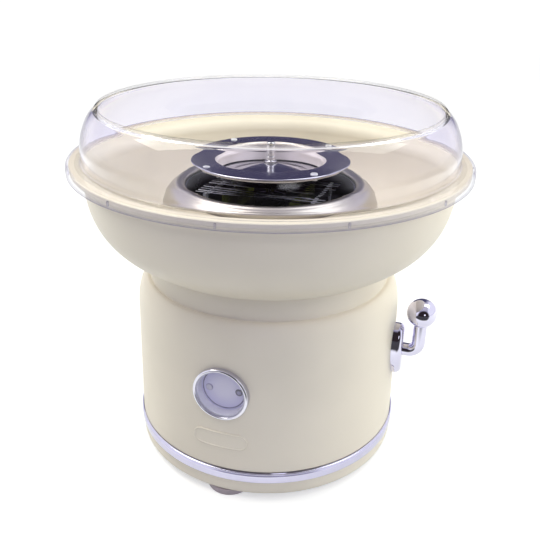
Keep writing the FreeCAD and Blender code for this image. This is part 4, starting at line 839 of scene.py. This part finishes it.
# Painted shade: the tint darkens toward the outline, where the wall is seen edge-on.
edge_on = clear_plastic.node("LayerWeight", {}, {"Blend": 0.5}, output="Facing").ramp(0.72, 1.0)
clear_plastic.set(
    Base_Color=clear_plastic.mix(edge_on, clear_tint, linear(206, 200, 230)),
    Roughness=cloud.ramp(0.4, 0.8, 0.0, 0.03))
lamp_ray = clear_plastic.node("LightPath", output="Is Shadow Ray")
clear_mix = clear_plastic.tree.nodes.new("ShaderNodeMixShader")
bead_start = 0.2668
bead_share = clear_plastic.parts()[2].above(bead_start) * 0.75
clear_plastic.put(clear_mix.inputs[0], (lamp_ray * 0.96).either(bead_share))
clear_plastic.tree.links.new(clear_plastic.shader.outputs[0], clear_mix.inputs[1])
see_through = clear_plastic.tree.nodes.new("ShaderNodeBsdfTransparent")
clear_plastic.tree.links.new(see_through.outputs[0], clear_mix.inputs[2])
clear_surface = clear_plastic.tree.nodes["Material Output"].inputs["Surface"]
clear_plastic.tree.links.new(clear_mix.outputs[0], clear_surface)
flange_top, guard_top, guard_rim, guard_side, guard_mouth = 232.9, 269.5, 145.0, 134.5, 121.5
guard_bead = 1.4
guard_path = [
    (guard_rim, flange_top - 6.5), (guard_rim, flange_top - 2.0),
    (guard_rim - 0.6, flange_top - 0.6, guard_rim - 2.0, flange_top), (guard_side + 1.6, flange_top),
    (guard_side + 0.4, flange_top + 0.5, guard_side, flange_top + 1.8), (guard_side - 0.1, guard_top - 27.0),
    (guard_side - 1.4, guard_top - 19.0, guard_side - 3.7, guard_top - 13.0),
    (guard_side - 7.3, guard_top - 6.6, guard_mouth + 0.9, guard_top - guard_bead - 0.5),
]
guard_outer = along(guard_path, 12)
guard_wall, mouth_wall = 1.8, 2.3


def guard_side_wall(points):
    """The inner line of the wall, which grows thicker from the side up to the mouth."""
    inner = []
    for index, point in enumerate(points):
        before = Vector(points[max(index - 1, 0)])
        after = Vector(points[min(index + 1, len(points) - 1)])
        way = (after - before).normalized()
        rise = min(max((point[1] - (guard_top - 26.0)) / 22.0, 0.0), 1.0)
        wall = guard_wall + (mouth_wall - guard_wall) * rise
        inner.append((point[0] - way.y * wall, point[1] + way.x * wall))
    return inner


guard_inner = guard_side_wall(guard_outer)
bead_arc = arc(guard_mouth - 0.5, guard_top - guard_bead, guard_bead, 20, 235, 14)
guard_outline = guard_outer[:-1] + bead_arc + guard_inner[::-1][1:]
guard = turned(guard_outline, 256)
for face in guard.faces:
    middle = face.calc_center_median()
    reach, level = math.hypot(middle.x, middle.y) / MM, middle.z / MM
    on_flange = reach > 140.5 or (level < flange_top - 0.9 and reach > guard_side - 0.6)
    face.material_index = int(on_flange)
lug_count, lug_size = 12, (0.9 * MM, 1.4 * MM, 3.2 * MM, 1)
for number in range(lug_count):
    turn = math.radians(30 * (number + 0.2))
    lug = bmesh.new()
    bmesh.ops.create_cube(lug, size=1.0, matrix=Matrix.Rotation(turn, 4, "Z") @ at(143.0, 0, 228.5)
                          @ Matrix.Diagonal(lug_size))
    bmesh.ops.bevel(lug, geom=lug.edges[:], offset=0.0002, affect="EDGES", segments=2, profile=0.5,
                    material=-1)
    add_to(guard, lug)
guard_piece = piece_of("clear_splash_guard", guard, clear_plastic, "guard",
                       ["splash_guard"], 40.0)
clear_edge = Finish("clear plastic edge", IOR=1.49)
edge_cloud = clear_edge.noise(40.0, 3.0)
edge_facing = clear_edge.node("LayerWeight", {}, {"Blend": 0.35}, output="Facing")
edge_x, edge_y, edge_z = clear_edge.parts()
rim_from, face_from, lip_below = 0.1443, 0.2322, 0.2270
outer_skin = reach_of(edge_x, edge_y).above(rim_from).either(edge_z.above(face_from))
edge_shadow = clear_edge.node("LightPath", output="Is Shadow Ray")
# Painted shade: dark lines are painted along the outline and along the lip's lower edge, where the alpha also
# rises.
edge_outline = edge_facing.ramp(0.7, 0.93)
lip_painted_line = edge_z.below(lip_below)
skin_share = edge_facing.ramp(0.3, 0.8, 0.12, 0.30) + edge_outline * 0.4
edge_share = outer_skin * skin_share + lip_painted_line * 0.2 + 0.04
painted_line_share = edge_outline.either(lip_painted_line)
clear_edge.set(Alpha=edge_share * (1.0 - edge_shadow * 0.95),
               Base_Color=clear_edge.mix(painted_line_share, linear(160, 154, 184), linear(104, 96, 142)),
               Specular_IOR_Level=0.25, Roughness=edge_cloud.ramp(0.4, 0.8, 0.02, 0.06))
guard_piece.data.materials.append(clear_edge.material)

# ---------------------------------------------------------------- Badge
# A round glazed badge pressed into the body's wall: a chrome bezel, a clear lens, and a printed dial
# with two pilot lamps, set back in a white cup.

bezel_front, bezel_radius, lens_edge = 105.2, 20.3, 18.9
badge_place = at(0, 0, badge_level) @ TO_FRONT
bezel_outline = ([(18.25, 103.6), (18.1, 104.3)] + arc(18.9, 104.4, 0.8, 180, 90, 4)
                 + arc(bezel_radius - 1.1, bezel_front - 1.1, 1.1, 80, 0, 6)
                 + [(bezel_radius, 98.0), (lens_edge, 98.0), (lens_edge, 103.6)])
bezel = turned(bezel_outline, 128, badge_place)
for vert in bezel.verts:
    if vert.co.y > -0.0990:
        level = min(max(vert.co.z / MM, band_top), shoulder_start)
        wall = shell_foot + (shell_top - shell_foot) * (level - band_top) / (shoulder_start - band_top) + 0.1
        vert.co.y = -math.sqrt(wall ** 2 - (vert.co.x / MM) ** 2) * MM
badge_chrome = chrome("badge chrome", linear(228, 227, 240), 0.07)
piece_of("badge_bezel_ring", bezel, badge_chrome, "housing", ["badge_bezel"])
lens_outline = [(0, 103.4), (lens_edge - 0.1, 103.4), (lens_edge - 0.1, 103.95), (lens_edge - 0.3, 104.2),
                (0, 104.3)]
lens = turned(lens_outline, 96, badge_place)
lens_clear = Finish("badge lens", IOR=1.49, Base_Color=(0.95, 0.95, 1.0))
lens_facing = lens_clear.node("LayerWeight", {}, {"Blend": 0.3}, output="Facing")
lens_shadow = lens_clear.node("LightPath", output="Is Shadow Ray")
lens_clear.set(Alpha=lens_facing.ramp(0.0, 1.0, 0.08, 0.45) * (1.0 - lens_shadow * 0.95),
               Roughness=lens_clear.noise(50.0, 2.0).ramp(0.3, 0.7, 0.02, 0.05))
piece_of("badge_clear_lens", lens, lens_clear, "housing", ["badge_lens"])

dial_finish = Finish("printed dial", IOR=1.46)
dial_x, _, dial_z = dial_finish.parts(dial_finish.place(move=(0, 0, -badge_level * MM)))
dial_r = reach_of(dial_x, dial_z)
rim_line = abs(dial_r - 0.0156).below(0.00045)
paper = dial_finish.mix(dial_r.ramp(0.004, 0.017), linear(236, 232, 250), linear(204, 199, 236))
dial_finish.set(Base_Color=dial_finish.mix(rim_line, paper, linear(84, 72, 118)),
                Roughness=dial_finish.noise(200.0, 2.0).ramp(0.3, 0.7, 0.3, 0.42))
dressed("badge_dial", dial_finish)
dressed("badge_housing", matt("badge cup", linear(236, 233, 246), 0.4, 260.0, 0.08))


def ringed_lamp(name, side, middle, ring, inner_edge):
    """A small lamp cap with a darker ring round its edge."""
    finish = Finish(name, Roughness=0.3, IOR=1.46)
    x, _, z = finish.parts(finish.place(move=(-side * lamp_offset * MM, 0, -lamp_level * MM)))
    reach = reach_of(x, z)
    cloud = finish.noise(500.0, 2.0)
    pale = finish.mix(cloud.ramp(0.3, 0.7), middle, tuple(value * 0.88 for value in middle))
    return finish.set(Base_Color=finish.mix(reach.ramp(inner_edge, inner_edge + 0.0003), pale, ring))


lamp_offset, lamp_level = 11.0, badge_level - 0.7
dressed("power_lamp", ringed_lamp("pale lamp", -1, linear(214, 209, 226), linear(140, 130, 172), 0.0021))
dressed("heat_lamp", ringed_lamp("dark lamp", 1, linear(140, 132, 168), linear(72, 62, 92), 0.0014))

# ---------------------------------------------------------------- Name plate
# A pressed cream plate with a raised edge, left blank. It is fixed to the body's wall, under the badge
# and a little to one side.

plate_level, plate_shift, plate_half_length, plate_half_width, plate_rise = 50.0, 1.4, 20.7, 6.5, 0.9


def plate_row(inset, rise, steps=16):
    """The plate's outline as points on the body's wall, moved in by the inset and out by the rise."""
    half_long, half_wide = plate_half_length - inset, plate_half_width - inset
    straight = half_long - half_wide
    side = [straight * (1 - 2 * step / steps) for step in range(1, steps)]
    rim = arc(straight, 0, half_wide, -90, 90, 20) + [(across, half_wide) for across in side]
    rim += arc(-straight, 0, half_wide, 90, 270, 20) + [(-across, -half_wide) for across in side]
    row = []
    for across, up in rim:
        level = plate_level + up
        wall = shell_foot + (shell_top - shell_foot) * (level - band_top) / (shoulder_start - band_top)
        turn = (across - plate_shift) / wall
        row.append((math.sin(turn) * (wall + rise), -math.cos(turn) * (wall + rise), level))
    return row


plate = bmesh.new()
plate_steps = ((plate_half_width, -0.3), (0.0, -0.3), (0.0, 0.5), (0.25, 0.8), (0.6, plate_rise),
               (0.95, 0.8), (1.15, 0.45), (1.5, 0.4), (4.0, 0.4), (plate_half_width, 0.4))
plate_rows = [[plate.verts.new((x * MM, y * MM, z * MM)) for x, y, z in plate_row(inset, rise)]
              for inset, rise in plate_steps]
for outer, inner in zip(plate_rows, plate_rows[1:]):
    for index, corner in enumerate(outer):
        after = (index + 1) % len(outer)
        plate.faces.new((corner, outer[after], inner[after], inner[index]))
bmesh.ops.remove_doubles(plate, verts=plate.verts, dist=1e-6)
bmesh.ops.recalc_face_normals(plate, faces=plate.faces)
plate_finish = moulded_plastic("name plate cream", CREAM, 0.22)
piece_of("blank_name_plate", plate, plate_finish, "housing", ["name_plate"], 50.0)

# ---------------------------------------------------------------- Lever
# The on/off lever at the side: a bent chrome rod with a ball, in an oval plate on the wall. Inside,
# a cam on its end presses the switch.

lever_chrome = chrome("lever chrome", linear(226, 224, 244), 0.04, 0.04)
dressed("lever_scutcheon", lever_chrome)
dressed("lever_arm", lever_chrome)
dressed("lever_knob", lever_chrome)
dressed("lever_clip", fastener_zinc)
dressed("lever_cam", black_plastic)
